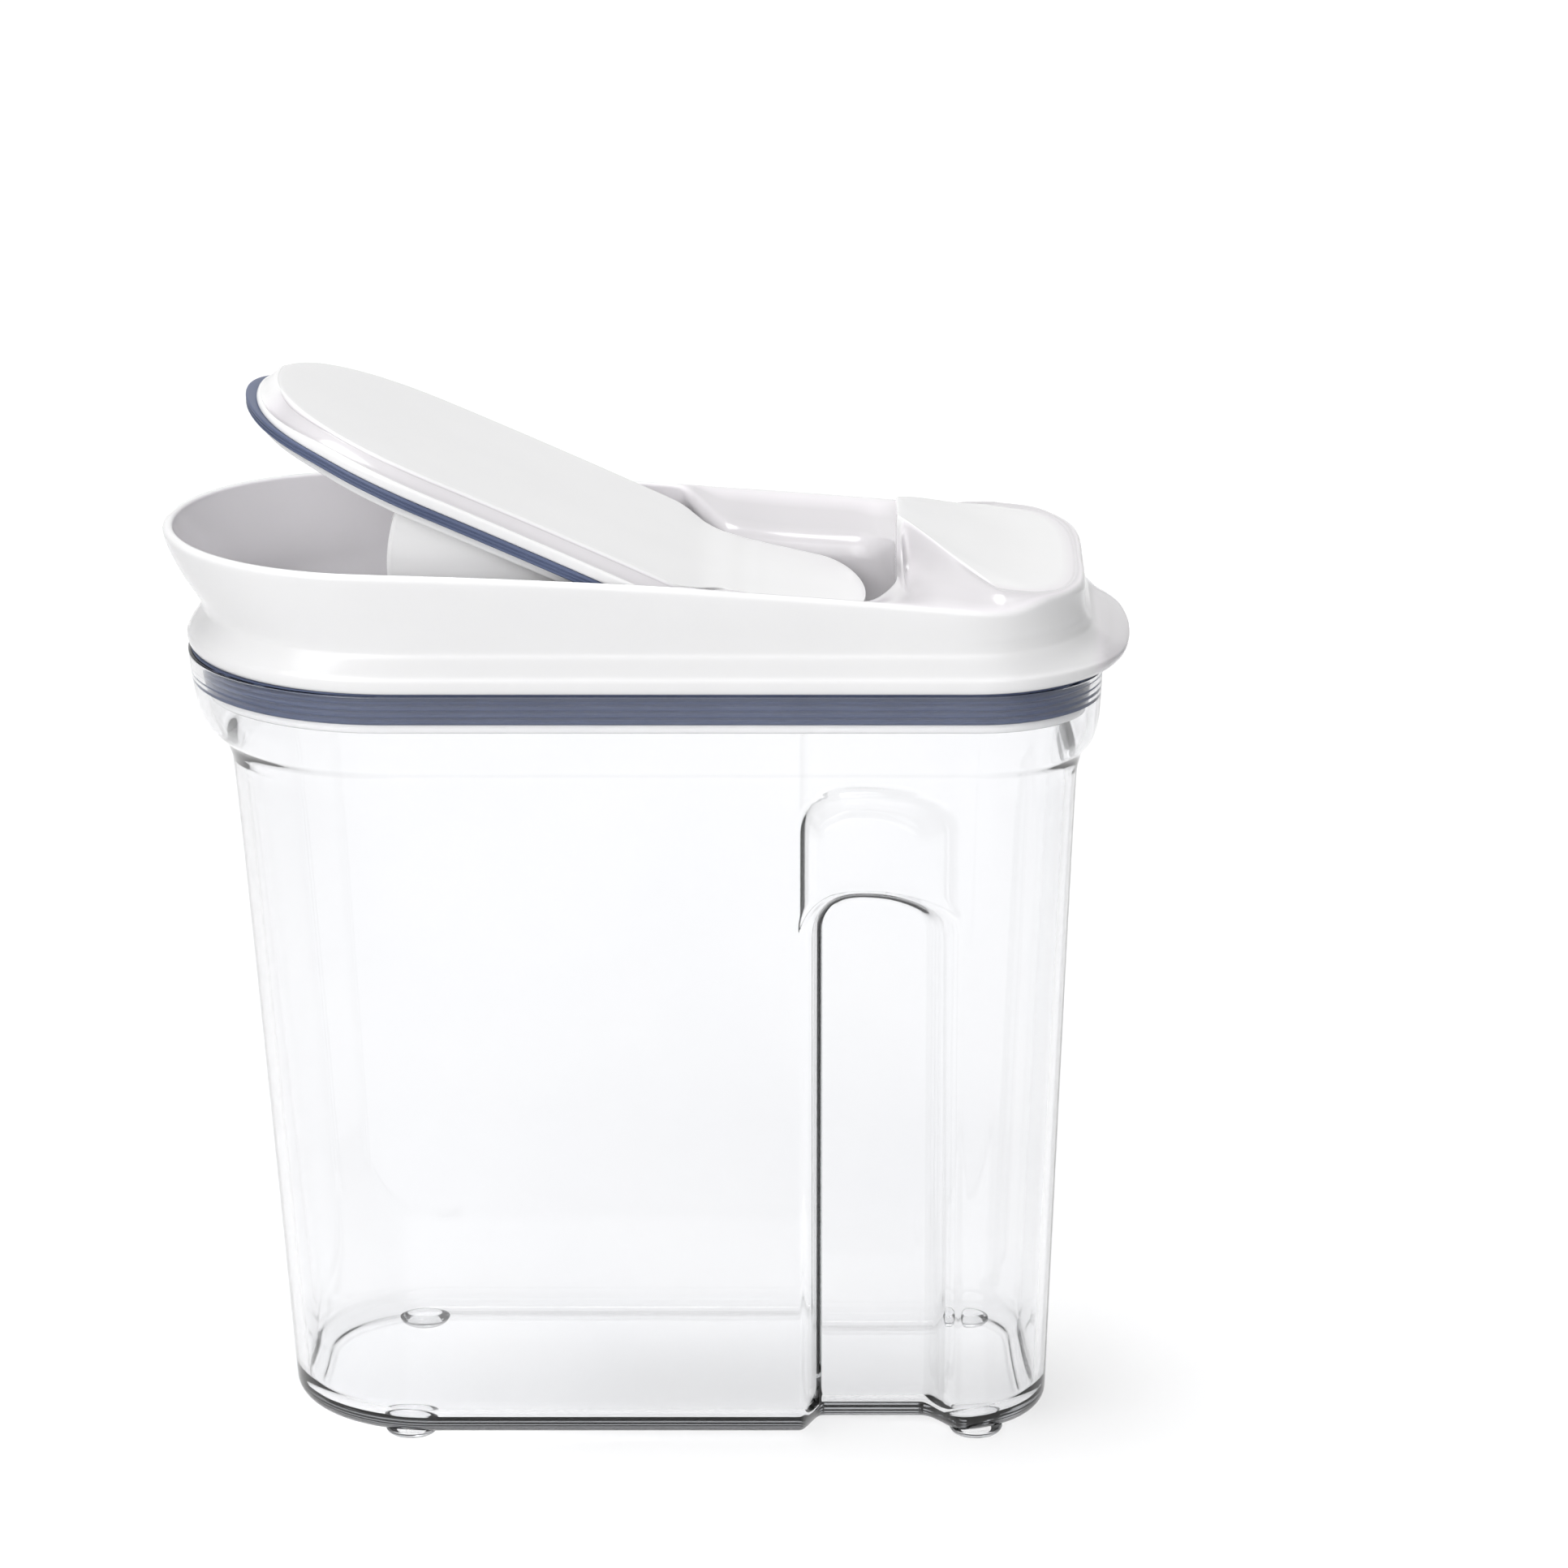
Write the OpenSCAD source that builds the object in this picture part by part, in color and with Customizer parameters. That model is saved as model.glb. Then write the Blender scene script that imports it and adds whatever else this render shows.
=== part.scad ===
// Cereal container with a flip spout: a clear tub, a lift-off lid and a flap that a finger tips open.
// Millimetres. The origin is on the table under the middle of the tub, the spout points to -X, +Z is up.

/* [Tub] */
// Height of the tub's rim above the table
rim_z = 204; // [195:0.5:215]
// Thickness of the tub's walls
tub_wall = 3; // [2.4:0.1:3.4]
// How far the tub's front narrows from the shoulder to the floor
front_draft = 15; // [6:0.2:18]
// How far the tub's rear narrows from the shoulder to the floor
rear_draft = 5.6; // [3:0.2:9]
// How far each long side narrows from the shoulder to the floor
side_draft = 2.6; // [1:0.2:4]
// Depth of the hand grips in the long sides
grip_depth = 11; // [6:0.5:12]
// Height of the top of the hand grips
grip_top = 152; // [120:1:160]
// Height of the four feet below the tub's floor
foot_h = 2; // [1.5:0.1:3]

/* [Lid] */
// Half width of the lid's skirt
half_w = 53; // [51:0.5:55]
// Reach of the lid's skirt in front of the origin
front_x = 125; // [122:0.5:128]
// Reach of the lid's skirt behind the origin, without the lift tab
rear_x = 111.5; // [109:0.5:114]
// Height of the spout's lip above the skirt's lower edge
lip_h = 31.8; // [30:0.2:34]
// How far the spout's lip leans out past the skirt
spout_out = 5.8; // [4:0.2:7]
// Thickness of the lid's side walls
lid_wall = 2.3; // [2:0.1:2.6]
// How far the lift tab stands out behind the skirt
tab_out = 6.8; // [4:0.2:8]
// Height of the rear deck above the lid's side rims
deck_rise = 3.5; // [2.5:0.1:5]
// Height of the deck's front tip above the side rims
deck_peak = 12.1; // [9:0.1:13]

/* [Flap] */
// How far the flap stands open, in degrees
flap_open = 21.8; // [16:0.1:22]
// Half width of the flap's raised panel
panel_hw = 41; // [39:0.2:42]
// Half width of the neck behind the panel
neck_hw = 25; // [22:0.2:26]
// Height of the raised panel above the flap's border
panel_rise = 2.7; // [1.5:0.1:3]
// Height of the press pad's rear end above the side rims when the flap is shut
pad_rise = 7.5; // [5:0.1:9]
// Thickness of the moulded shells
shell = 2.2; // [1.8:0.1:2.4]
// Radius of the hinge pins
pin_r = 2; // [1.6:0.1:2.4]

/* [Clearances] */
// Gap between the lid's skirt and the tub's rim
rim_gap = 0.5; // [0.4:0.1:1]
// Gap between the soft seals and the walls they wipe
seal_gap = 0.4; // [0.35:0.05:0.8]
// Play of the flap's hubs on the pins, on the radius
pin_play = 0.05; // [0.03:0.01:0.08]
// Gap at the sides of the flap's hubs
hub_gap = 0.6; // [0.5:0.1:1]

/* [Hidden] */
CLEAR = [0.80, 0.85, 0.88, 0.35];
WHITE = [0.93, 0.93, 0.94];
SLATE = [0.42, 0.46, 0.55];

arc_n = 8;                            // segments in a quarter turn of an outline
skirt_z = rim_z + rim_gap;            // lower edge of the lid's skirt
lip_z = skirt_z + lip_h;              // top of the spout's lip
lip_x = -front_x - spout_out;         // foremost point of the lip
rim_sag = 0.000227;                   // the side rims are a shallow arc, lowest at the rear
hinge_x = -5;
hinge_z = skirt_z + 7.5;
deck_hw = half_w - 12;                // half width of the deck
well_x1 = rear_x - 53.7;              // rear end of the finger well
well_hw = neck_hw + 4;                // half width of the finger well
well_x0 = hinge_x + 6.5;              // front end of the curve from the spout to the finger well
curve_l = 11.5;                       // length of that curve
tip_hw = 9;                           // half width of the deck's front tip
spout_hw = half_w - 0.5;              // half width of the spout's outside
mouth_hw = spout_hw - lid_wall;       // half width inside the spout

// ---------- helpers ----------

// The drawing starts from the middle of the tub's foot; the part's origin is under the middle of its whole length.
module placed() {
    translate([-(lip_x + rear_x + tab_out) / 2, 0, 0]) children();
}

function smooth(t) = let (u = min(1, max(0, t))) u * u * (3 - 2 * u);
function mix(a, b, t) = a + (b - a) * t;
function rim(x) = lip_z - rim_sag * pow(x - lip_x, 2);

// Near half of a plan outline from the front tip to the rear tip: rounded corners, xs are extra side stations.
function half_plan(x0, x1, hw, rf, rr, xs = []) = concat(
    [[x0, 0]],
    [for (i = [0:arc_n]) let (a = 90 * i / arc_n) [x0 + rf * (1 - cos(a)), rf - hw - rf * sin(a)]],
    [for (x = xs) [x, -hw]],
    [for (i = [arc_n:-1:0]) let (a = 90 * i / arc_n) [x1 - rr * (1 - cos(a)), rr - hw - rr * sin(a)]],
    [[x1, 0]]);
function whole_plan(h) = concat(h, [for (i = [len(h) - 2:-1:1]) [h[i][0], -h[i][1]]]);
function plan(x0, x1, hw, rf, rr, xs = []) = whole_plan(half_plan(x0, x1, hw, rf, rr, xs));

// Solid from a stack of rings with equal point counts. Its ends are closed flat across the
// plan, or, with loop = true, the last ring joins the first and makes a hollow ring.
module ring_stack(rings, loop = false) {
    n = len(rings[0]);
    m = len(rings);
    k = n / 2;
    sides = [for (r = [0:(loop ? m - 1 : m - 2)], j = [0:n - 1])
        let (s = (r + 1) % m, q = (j + 1) % n)
        each [[r * n + j, s * n + j, s * n + q], [r * n + j, s * n + q, r * n + q]]];
    function ladder(o) = concat(
        [[o, o + 1, o + 2], [o, o + 2, o + n - 2], [o, o + n - 2, o + n - 1]],
        [for (j = [2:k - 3]) each [[o + j, o + j + 1, o + n - j - 1], [o + j, o + n - j - 1, o + n - j]]],
        [[o + k - 2, o + k - 1, o + k], [o + k - 2, o + k, o + k + 2], [o + k, o + k + 1, o + k + 2]]);
    bottom = ladder(0);
    top = [for (f = ladder((m - 1) * n)) [f[2], f[1], f[0]]];
    polyhedron(points = [for (r = rings) each r], faces = loop ? sides : concat(sides, bottom, top));
}

// ---------- tub ----------

shoulder_z = rim_z - 28.5;
grip_x0 = 33;
grip_x1 = 76;
grip_r = 14;
grip_side = 6;      // width of the grip's steep front and top flanks
grip_ramp = 11;     // width of its soft rear flank
tub_sides = [0, 28, 33, 34.5, 36, 37.5, 39, 43, 50, 58, 65, 68, 71];

// How far the wall steps in at a grip.
function grip(x, z) =
    let (dl = x - grip_x0, dr = (grip_x1 - x) * grip_side / grip_ramp, dt = grip_top - z,
         dh = min(dl, dr),
         d = (dh < grip_r && dt < grip_r) ? grip_r - norm([grip_r - dh, grip_r - dt]) : min(dh, dt))
    grip_depth * smooth(d / grip_side);

// Tub outline at height z, inset from the outer face. b is the extra inset of the rounded lower edge.
function tub_ring(z, inset, flare = 0, b = 0) =
    let (t = min(1, max(0, z / shoulder_z)), i = inset + b,
         x0 = -front_x + 11.2 + front_draft * (1 - z / shoulder_z) - flare * 8.9,
         x1 = rear_x - 7.2 - rear_draft * (1 - t) + flare * 6.2,
         hw = half_w - 4.3 - side_draft * (1 - t) + flare * 3.9,
         rf = hw - mix(10.1, 1.2, t), rr = mix(26, 30, t) + flare * 2)
    [for (p = plan(x0 + i, x1 - i, hw - i, rf - i, rr - i, tub_sides))
        let (g = abs(p[1]) > 20 ? grip(p[0], z) : 0)
        [p[0], p[1] - sign(p[1]) * g, z]];

grip_levels = [grip_top - 18, grip_top - 13, grip_top - 10, grip_top - 7, grip_top - 4.5, grip_top - 2, grip_top];
// [height below the rim, flare from the body (0) to the collar (1)]
collar = [[-28.5, 0], [-25, 0.12], [-22.4, 0.27], [-20.7, 0.52], [-17.5, 0.77], [-14, 0.88], [-11, 0.92],
          [-4, 0.99], [-0.6, 1]];

module tub() {
    floor_z = foot_h;
    outer = concat(
        [tub_ring(floor_z, 0, 0, 5.2), tub_ring(floor_z + 0.4, 0, 0, 3.1), tub_ring(floor_z + 1.6, 0, 0, 1.2),
         tub_ring(floor_z + 4, 0, 0, 0.25), tub_ring(floor_z + 7, 0), tub_ring(grip_top - 80, 0)],
        [for (z = grip_levels) tub_ring(z, 0)],
        [for (c = collar) tub_ring(rim_z + c[0], 0, c[1])],
        [tub_ring(rim_z, 0.6, 1)]);
    inner = concat(
        [tub_ring(rim_z, tub_wall - 0.6, 1)],
        [for (i = [len(collar) - 1:-1:0]) tub_ring(rim_z + collar[i][0], tub_wall, min(1, collar[i][1] + 0.05 * (1 - collar[i][1])))],
        [for (i = [len(grip_levels) - 1:-1:0]) tub_ring(grip_levels[i], tub_wall)],
        [tub_ring(grip_top - 80, tub_wall), tub_ring(floor_z + 10, tub_wall), tub_ring(floor_z + 6, tub_wall, 0, 0.8),
         tub_ring(floor_z + 3.8, tub_wall, 0, 3), tub_ring(floor_z + 3.2, tub_wall, 0, 6)]);
    color(CLEAR) placed() ring_stack(concat(outer, inner));
}

module feet() {
    foot_r = 7;
    foot_x = [-front_x + 57, rear_x - 32.5];
    foot_y = half_w - 15;
    color(CLEAR) placed() for (x = foot_x, side = [-1, 1])
        translate([x, side * foot_y, 0]) rotate_extrude($fn = 40)
            polygon([[0, 0], [foot_r * 0.5, 0], [foot_r * 0.7, foot_h * 0.12], [foot_r * 0.88, foot_h * 0.42],
                     [foot_r, foot_h], [0, foot_h]]);
}

// ---------- lid shell ----------

// Half width of the opening: the wide spout, then the narrow finger well.
function opening_hw(x) = mix(mouth_hw, well_hw, smooth((x - well_x0) / curve_l));
// Half width of the deck: a tongue that widens to the full deck, with round rear corners.
function deck_edge(x) =
    let (u = max(0, x - well_x1 - 28.2) / 20.1)
    x < well_x1 + 25.2 ? tip_hw + (deck_hw - tip_hw) * max(0, x - well_x1) / 25.2
                       : deck_hw * pow(max(0, 1 - pow(u, 3)), 1 / 3);
// Heights above the side rims: the deck, the foot of its tongue, and the dip of the side channels.
function deck_h(x) = deck_rise + (deck_peak - deck_rise) * (1 - smooth((x - well_x1 + 3.8) / 32));
function foot_line_h(x) = deck_h(x) - deck_peak * (1 - smooth((x - well_x1 + 5.8) / 25));
function channel_dip(x) = 5.5 * smooth((x + 4) / 14) * (1 - smooth((x - 35) / 45));
function cove_h(x, y) =
    let (edge = mouth_hw + 0.8,
         foot = mix(well_hw, deck_edge(x) + 4, smooth((x - well_x1 + 6) / 6)),
         u = min(1, max(0, (edge - abs(y)) / max(1, edge - foot))))
    foot_line_h(x) * pow(u, 1.5) * smooth((x - well_x1 + 8) / 8) - channel_dip(x) * sin(90 * u);
function cove_z(x, y) = rim(x) + cove_h(x, y);

lid_arc_n = 8;
spout_sides = [-60, -40, -20, -4];
// Stations along the curve from spout to well.
curve_sides = [for (t = [0, 2, 4, 6, 8.5]) well_x0 + t * curve_l / 11.5, well_x0 + curve_l];
well_sides = [for (d = [35.8, 26.8, 17.8]) well_x1 - d];
corner_n = 5;                                   // stations around the well's rear corner
corner_r = 13.5;
deck_n = 14;                                    // stations around the deck, from its tip to its rear middle
lid_stations = concat(spout_sides, curve_sides, well_sides,
    [for (i = [1:corner_n]) mix(well_x1 - 14.8, well_x1, i / corner_n)], [well_x1 + 4, well_x1 + 7, well_x1 + 10.5, well_x1 + 14]);

// Near half of the lid's outline, front tip to rear tip, one point for each station.
function lid_half(x0, x1, hw, rr) = let (rf = hw - 0.6) concat(
    [[x0, 0]],
    [for (i = [0:lid_arc_n]) let (a = 90 * i / lid_arc_n) [x0 + rf * (1 - cos(a)), rf - hw - rf * sin(a)]],
    [for (x = lid_stations) [x, -hw]],
    [for (i = [lid_arc_n:-1:0]) let (a = 90 * i / lid_arc_n) [x1 - rr * (1 - cos(a)), rr - hw - rr * sin(a)]],
    [[x1, (rr - hw) / 2], [x1, 0]]);

// Near half of the opening's outline with the same stations; x0 is the inside of the spout's front.
function opening_half(x0) = let (rf = mouth_hw - 0.6, cx = well_x1 - corner_r, cy = well_hw + 0.5 - corner_r) concat(
    [[x0, 0]],
    [for (i = [0:lid_arc_n]) let (a = 90 * i / lid_arc_n) [x0 + rf * (1 - cos(a)), rf - mouth_hw - rf * sin(a)]],
    [for (x = concat(spout_sides, curve_sides, well_sides)) [x, -opening_hw(x)]],
    [for (i = [1:corner_n]) let (a = 90 * i / corner_n) [cx + corner_r * sin(a), -cy - corner_r * cos(a)]],
    [[well_x1, -tip_hw - 3]],
    [for (i = [0:deck_n - 1]) [well_x1, -tip_hw * (1 - i / (deck_n - 1))]]);

first_deck = 1 + lid_arc_n + 1 + len(lid_stations) - 3;        // index of the first deck station
first_hollow = 1 + lid_arc_n + 1 + len(spout_sides) + 2;       // first station with a hollow behind the well's wall
half_n = first_deck + deck_n;                                  // stations in the near half

// Deck's edge at deck station c.
function deck_point(c) = c < 6
    ? let (x = well_x1 + [0.6, 6.2, 12.2, 18.2, 22.2, 25.7][c]) [x, -deck_edge(x)]
    : let (a = 11.2 * (deck_n - 1 - c))
      [well_x1 + 28.2 + 17.6 * pow(cos(a), 2 / 3), -deck_hw * pow(sin(a), 2 / 3)];

function toward(p, q, d) = p + (q - p) * d / norm(q - p);
function off_wall(pts, j, d) = let (t = pts[min(half_n - 1, j + 1)] - pts[max(0, j - 1)],
    v = j == half_n - 1 ? [0, 1] : t / norm(t)) pts[j] + d * [v[1], -v[0]];
function whole(h) = concat(h, [for (i = [len(h) - 2:-1:1]) [h[i][0], -h[i][1], h[i][2]]]);

// [height above the skirt's lower edge, front inset, rear inset, side inset, share of the lift tab]
skirt_profile = [[0, 0.8, 0.6, 0.6, 0.93], [0.6, 0.1, 0, 0, 1], [2.6, 0, 0, 0, 1], [3.8, 0.1, 0.3, 0.1, 0.9],
    [4.8, 0.5, 1.2, 0.3, 0.5], [6.5, 1.6, 2.2, 0.4, 0.3], [8.5, 3, 3.3, 0.6, 0.15], [10.8, 4, 4.3, 0.9, 0.04],
    [13, 3.4, 4.9, 0.9, 0]];
// [share of the height from the neck to the rim, front inset, rear inset, side inset]
spout_profile = [[0.19, 1.2, 5.3, 0.9], [0.55, -2.8, 5.9, 0.7], [0.86, -5, 5.7, 0.5], [1, -5.8, 5.5, 0.5]];
lip_round = 0.7;

module lid_shell() {
    neck_z = skirt_z + 13;
    boss_y = web_y + hub_gap;
    rear_r = 33;
    plate = shell;

    top_outer = lid_half(lip_x, rear_x - 5.5, spout_hw, rear_r - 1);
    top_inner = opening_half(lip_x + 2.8);
    lower_inner = [for (j = [0:half_n - 1]) let (p = opening_half(-front_x + 6.8)[j])
        j > 1 + lid_arc_n && j < first_hollow ? [p[0], -mouth_hw] : p];
    seat = [for (j = [0:half_n - 1]) off_wall(top_inner, j, shell)];
    wall_in = lid_half(-front_x + 6.8, rear_x - 7.8, mouth_hw, rear_r - 3);
    foot_in = lid_half(-front_x + 6.8, rear_x - 3, mouth_hw, rear_r - 3);

    skirt = [for (p = skirt_profile)
        [for (q = lid_half(-front_x + p[1], rear_x - p[2], half_w - p[3], rear_r))
            let (tab = q[0] > 40 ? p[4] * tab_out * pow(max(0, 1 - pow(q[1] / 46, 2)), 1.5) : 0)
            [q[0] + tab, q[1], skirt_z + p[0]]]];
    spout = [for (p = spout_profile)
        [for (q = lid_half(-front_x + p[1], rear_x - p[2], half_w - p[3], rear_r - 1))
            [q[0], q[1], mix(neck_z, cove_z(q[0], q[1]) - lip_round, p[0])]]];

    // Across the top, from the rim to the opening: fraction of the way for each ring.
    steps = [0.05, 0.22, 0.42, 0.62, 0.78, 0.88, 0.95, 1];
    function deck_path(j, k) =
        let (c = j - first_deck, edge = deck_point(c), lip = toward(top_outer[j], edge, 1.2),
             foot = toward(edge, lip, min(4, 0.45 * norm(lip - edge))))
        k == 0 ? lip : k < 4 ? mix(lip, foot, k / 4) : k == 4 ? foot
            : k == 5 ? edge : k == 6 ? mix(edge, top_inner[j], 0.5) : top_inner[j];
    function across(j, k) = j < first_deck ? mix(top_outer[j], top_inner[j], steps[k]) : deck_path(j, k);
    function across_z(j, k, p) = (j >= first_deck && k >= 5) ? rim(p[0]) + deck_h(p[0])
        : cove_z(p[0], p[1]) - (j < first_hollow ? lip_round * pow(2 * steps[k] - 1, 4) : 0);
    top = [for (k = [0:7]) [for (j = [0:half_n - 1]) let (p = across(j, k)) [p[0], p[1], across_z(j, k, p)]]];

    // Down the inside of the spout and the well.
    well = [for (s = [0.2, 0.5, 1]) [for (j = [0:half_n - 1])
        let (a = top[7][j],
             low = j >= first_hollow - 1 ? plate_z + 0.1 : skirt_z,
             q = lower_inner[j], z = mix(a[2], low, s),
             lean = min(1, max(0, (a[2] - z) / (a[2] - neck_z))))
        [mix(a[0], q[0], lean), mix(a[1], q[1], lean), z]]];

    // Behind the well's wall, under the top and down inside the outer wall. In front of the
    // hollow these rings lie side by side across the skirt's lower edge.
    under_n = 8;
    function under(j, k) =
        let (c = j - first_deck, b = seat[j], e = wall_in[j],
             t = [0, 0, 0.3, 0.6, 0.85, 1][k])
        (c < 0 || k < 2 || k > 4) ? mix(b, e, t)
            : let (ep = deck_path(j, 5), fp = deck_path(j, 4), ei = toward(ep, b, c == 0 ? 1.6 : 2.6), fi = mix(ei, fp, 0.65))
              k == 2 ? ei : k == 3 ? fi : mix(fi, e, 0.5);
    function under_z(j, k, p) = (j >= first_deck && k <= 2) ? rim(p[0]) + deck_h(p[0]) - plate
        : (j >= first_deck && k == 3) ? cove_z(deck_path(j, 4)[0], deck_path(j, 4)[1]) - plate
        : cove_z(p[0], p[1]) - plate - 0.3;
    behind = [for (k = [0:under_n - 1]) [for (j = [0:half_n - 1])
        let (a = well[2][j], o = skirt[0][j])
        j < first_hollow ? mix(a, o, (k + 1) / (under_n + 1))
            : k == 0 ? [seat[j][0], seat[j][1], a[2]]
            : k == 6 ? [wall_in[j][0], wall_in[j][1], skirt_z + 8]
            : k == 7 ? [foot_in[j][0], foot_in[j][1], skirt_z]
            : let (p = under(j, k)) [p[0], p[1], under_z(j, k, p)]]];

    color(WHITE) placed() difference() {
        union() {
            ring_stack([for (h = concat(skirt, spout, top, well, behind)) whole(h)], loop = true);
            for (side = [-1, 1]) translate([hinge_x, side * (boss_y + mouth_hw + 0.5) / 2, hinge_z])
                rotate([90, 0, 0]) cylinder(r = hub_r, h = mouth_hw + 0.5 - boss_y, center = true, $fn = 48);
        }
        for (side = [-1, 1]) translate([hinge_x, side * (boss_y - 1 + half_w - 4) / 2, hinge_z])
            rotate([90, 0, 0]) cylinder(r = pin_r, h = half_w - 4 - boss_y + 1, center = true, $fn = 48);
    }
}

// ---------- lid base and its seal ----------

plate_t = 1.6;                      // thickness of the base's plate
plate_z = skirt_z + plate_t;        // top of the base's plate
pour_x = -60.5;                     // rear edge of the pour opening
plug_z = skirt_z - 11;              // lower end of the plug that sinks into the tub
seal_h = 7.9;                       // height of the ribbed seal around the plug
seal_t = 2.6;                       // thickness of the ribbed seal
plug_flare = 0.93;                  // share of the tub's flare at the plug
flap_seal_h = 9.5;                  // depth of the flap seal's lower face below the side rims

// Outline inside the lid shell's skirt, and outline inside the tub's rim, each inset evenly.
function skirt_plan(inset) =
    plan(-front_x + 6.8 + inset, rear_x - 4 - inset, mouth_hw - inset, mouth_hw - inset - 0.6, half_w - 23 - inset);
function plug_plan(inset) = [for (p = tub_ring(plug_z, tub_wall + inset, plug_flare)) [p[0], p[1]]];

module layer(z0, z1, outline) {
    translate([0, 0, z0]) linear_extrude(z1 - z0) polygon(outline);
}

module lid_base() {
    snug = 0.1;                     // gap to the lid shell's wall
    plug_inset = seal_gap + seal_t + snug;
    plug_wall = 2.4;
    flange_inset = seal_gap + 0.3;
    flange_h = 3;
    sill_x = [-23, -20];
    sill_hw = web_y - web_t - 0.7;
    sill_z = rim((sill_x[0] + sill_x[1]) / 2) - flap_seal_h - seal_gap;
    color(WHITE) placed() union() {
        difference() {
            union() {
                layer(skirt_z, plate_z, skirt_plan(snug));
                layer(plug_z, skirt_z, plug_plan(plug_inset));
                layer(plug_z, plug_z + flange_h, plug_plan(flange_inset));
            }
            layer(plug_z - 1, skirt_z, plug_plan(plug_inset + plug_wall));
            intersection() {
                layer(plug_z - 1, plate_z + 1, plug_plan(plug_inset + plug_wall));
                translate([pour_x - front_x, -half_w, 0]) cube([front_x, 2 * half_w, lip_z]);
            }
        }
        translate([sill_x[0], -sill_hw, plate_z - 0.5]) cube([sill_x[1] - sill_x[0], 2 * sill_hw, sill_z - plate_z + 0.5]);
    }
}

module lid_seal() {
    ribs = 5;
    pitch = seal_h / ribs;
    rib_depth = 1.4;
    reach = tub_wall + seal_gap;
    function seal_ring(z, inset) = tub_ring(z, inset, plug_flare);
    z0 = skirt_z - seal_h;
    outer = [for (i = [0:ribs - 1], s = [[0.1, 0.9], [0.35, 0], [0.65, 0], [0.9, 0.9]])
        seal_ring(z0 + pitch * (i + s[0]), reach + rib_depth * s[1])];
    inner = [for (z = [skirt_z - pitch * 0.1, z0 + pitch * 0.1]) seal_ring(z, reach + seal_t)];
    color(SLATE) placed() ring_stack(concat(outer, inner), loop = true);
}

// ---------- hinge ----------

web_y = mouth_hw - 8.7;             // outer faces of the flap's side webs
web_t = 2;
hub_r = 5;

module hinge_pin(side) {
    pin_y0 = web_y - web_t - 0.5;
    pin_y1 = half_w - 4;
    color(WHITE) placed() translate([hinge_x, side * (pin_y0 + pin_y1) / 2, hinge_z])
        rotate([90, 0, 0]) cylinder(r = pin_r, h = pin_y1 - pin_y0, center = true, $fn = 48);
}

module hinge_pin_left() {
    hinge_pin(-1);
}

module hinge_pin_right() {
    hinge_pin(1);
}

// ---------- flap ----------

// The flap is drawn shut and turned open about the hinge.
module opened() {
    translate([hinge_x, 0, hinge_z]) rotate([0, flap_open, 0]) translate([-hinge_x, 0, -hinge_z]) children();
}

flap_cx = -front_x + 54;            // centre of the flap's round front
border_hw = half_w - 3.7;           // half width of the flap's border
pad_x1 = well_x1 - 13.5;            // rear end of the press pad
pad_a = 12.3;                       // length of the pad's round rear end
border_step = 0.6;                  // how far the border shows around the neck and the pad
crease_x = hinge_x + 22.7;          // where the press pad starts to rise
flap_sides = [-60, -45, -30, -20];
flap_curve = [for (d = [-12, -7, -3, 0, 4, 8, 12]) hinge_x + d];
flap_neck = [crease_x - 5.7, crease_x, crease_x + 6.3];

function panel_w(x) = mix(panel_hw, neck_hw, smooth((x - hinge_x + 6) / 18));
function border_w(x) = max(panel_w(x) + border_step, mix(border_hw, neck_hw, smooth((x - hinge_x + 12) / 23)));

// Near half of a flap outline: a front half ellipse a long and w(0) wide, then the sides w(x), then the pad's end.
function flap_half(a, hw, border, inset) = concat(
    [for (i = [0:arc_n]) let (t = 90 * i / arc_n) [flap_cx - (a - inset) * cos(t), -(hw - inset) * sin(t)]],
    [for (x = concat(flap_sides, flap_curve, flap_neck)) [x, inset - (border ? border_w(x) : panel_w(x))]],
    [for (i = [0:5]) let (t = 90 * i / 5, step = border ? border_step : 0, w = neck_hw + step - inset)
        [pad_x1 - pad_a + (pad_a - inset + step) * sin(t), -w * cos(t)]]);
function border_half(inset) = flap_half(border_hw, border_hw, true, inset);
function panel_half(inset) = flap_half(border_hw - 3.7, panel_hw, false, inset);

nose_l = 22;                        // length over which the flap's border dips toward the lip
function nose(x) = smooth((flap_cx - 27 - x) / nose_l);
function flap_drop(x) = 1.2 * nose(x);
function flap_top(x) = -1 + 1.3 * smooth((x - hinge_x + 3) / 13) + 1.1 * smooth((x - crease_x + 5.7) / 5.7)
    + (pad_rise - 1.4) * min(1, max(0, (x - crease_x) / (pad_x1 - crease_x)));
function flap_under(x) = mix(-5.8 - flap_drop(x), flap_top(x) - 5, smooth((x - hinge_x) / 15));
function border_top(x) = mix(-1 - panel_rise - 2.6 * nose(x), flap_top(x) - 0.8, smooth((x - hinge_x + 9) / 12));
function raised(h, f) = whole([for (p = h) [p[0], p[1], rim(p[0]) + f(p[0])]]);

module flap_cover() {
    border = border_half(0);
    panel = panel_half(0);
    slope = [for (j = [0:len(panel) - 1]) mix(border[j], panel[j], 0.45)];
    rings = [
        raised(panel_half(3), function(x) flap_top(x) - shell),
        raised(panel_half(2.6), function(x) flap_under(x)),
        raised(border_half(0.4), function(x) flap_under(x)),
        raised(border, function(x) flap_under(x) + 0.4),
        raised(border, function(x) border_top(x) - 0.3),
        raised(border_half(0.3), function(x) border_top(x)),
        raised(slope, function(x) border_top(x) + 0.2),
        raised(panel, function(x) flap_top(x) - 0.6),
        raised(panel_half(0.8), function(x) flap_top(x))];
    color(WHITE) placed() opened() ring_stack(rings);
}

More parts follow.
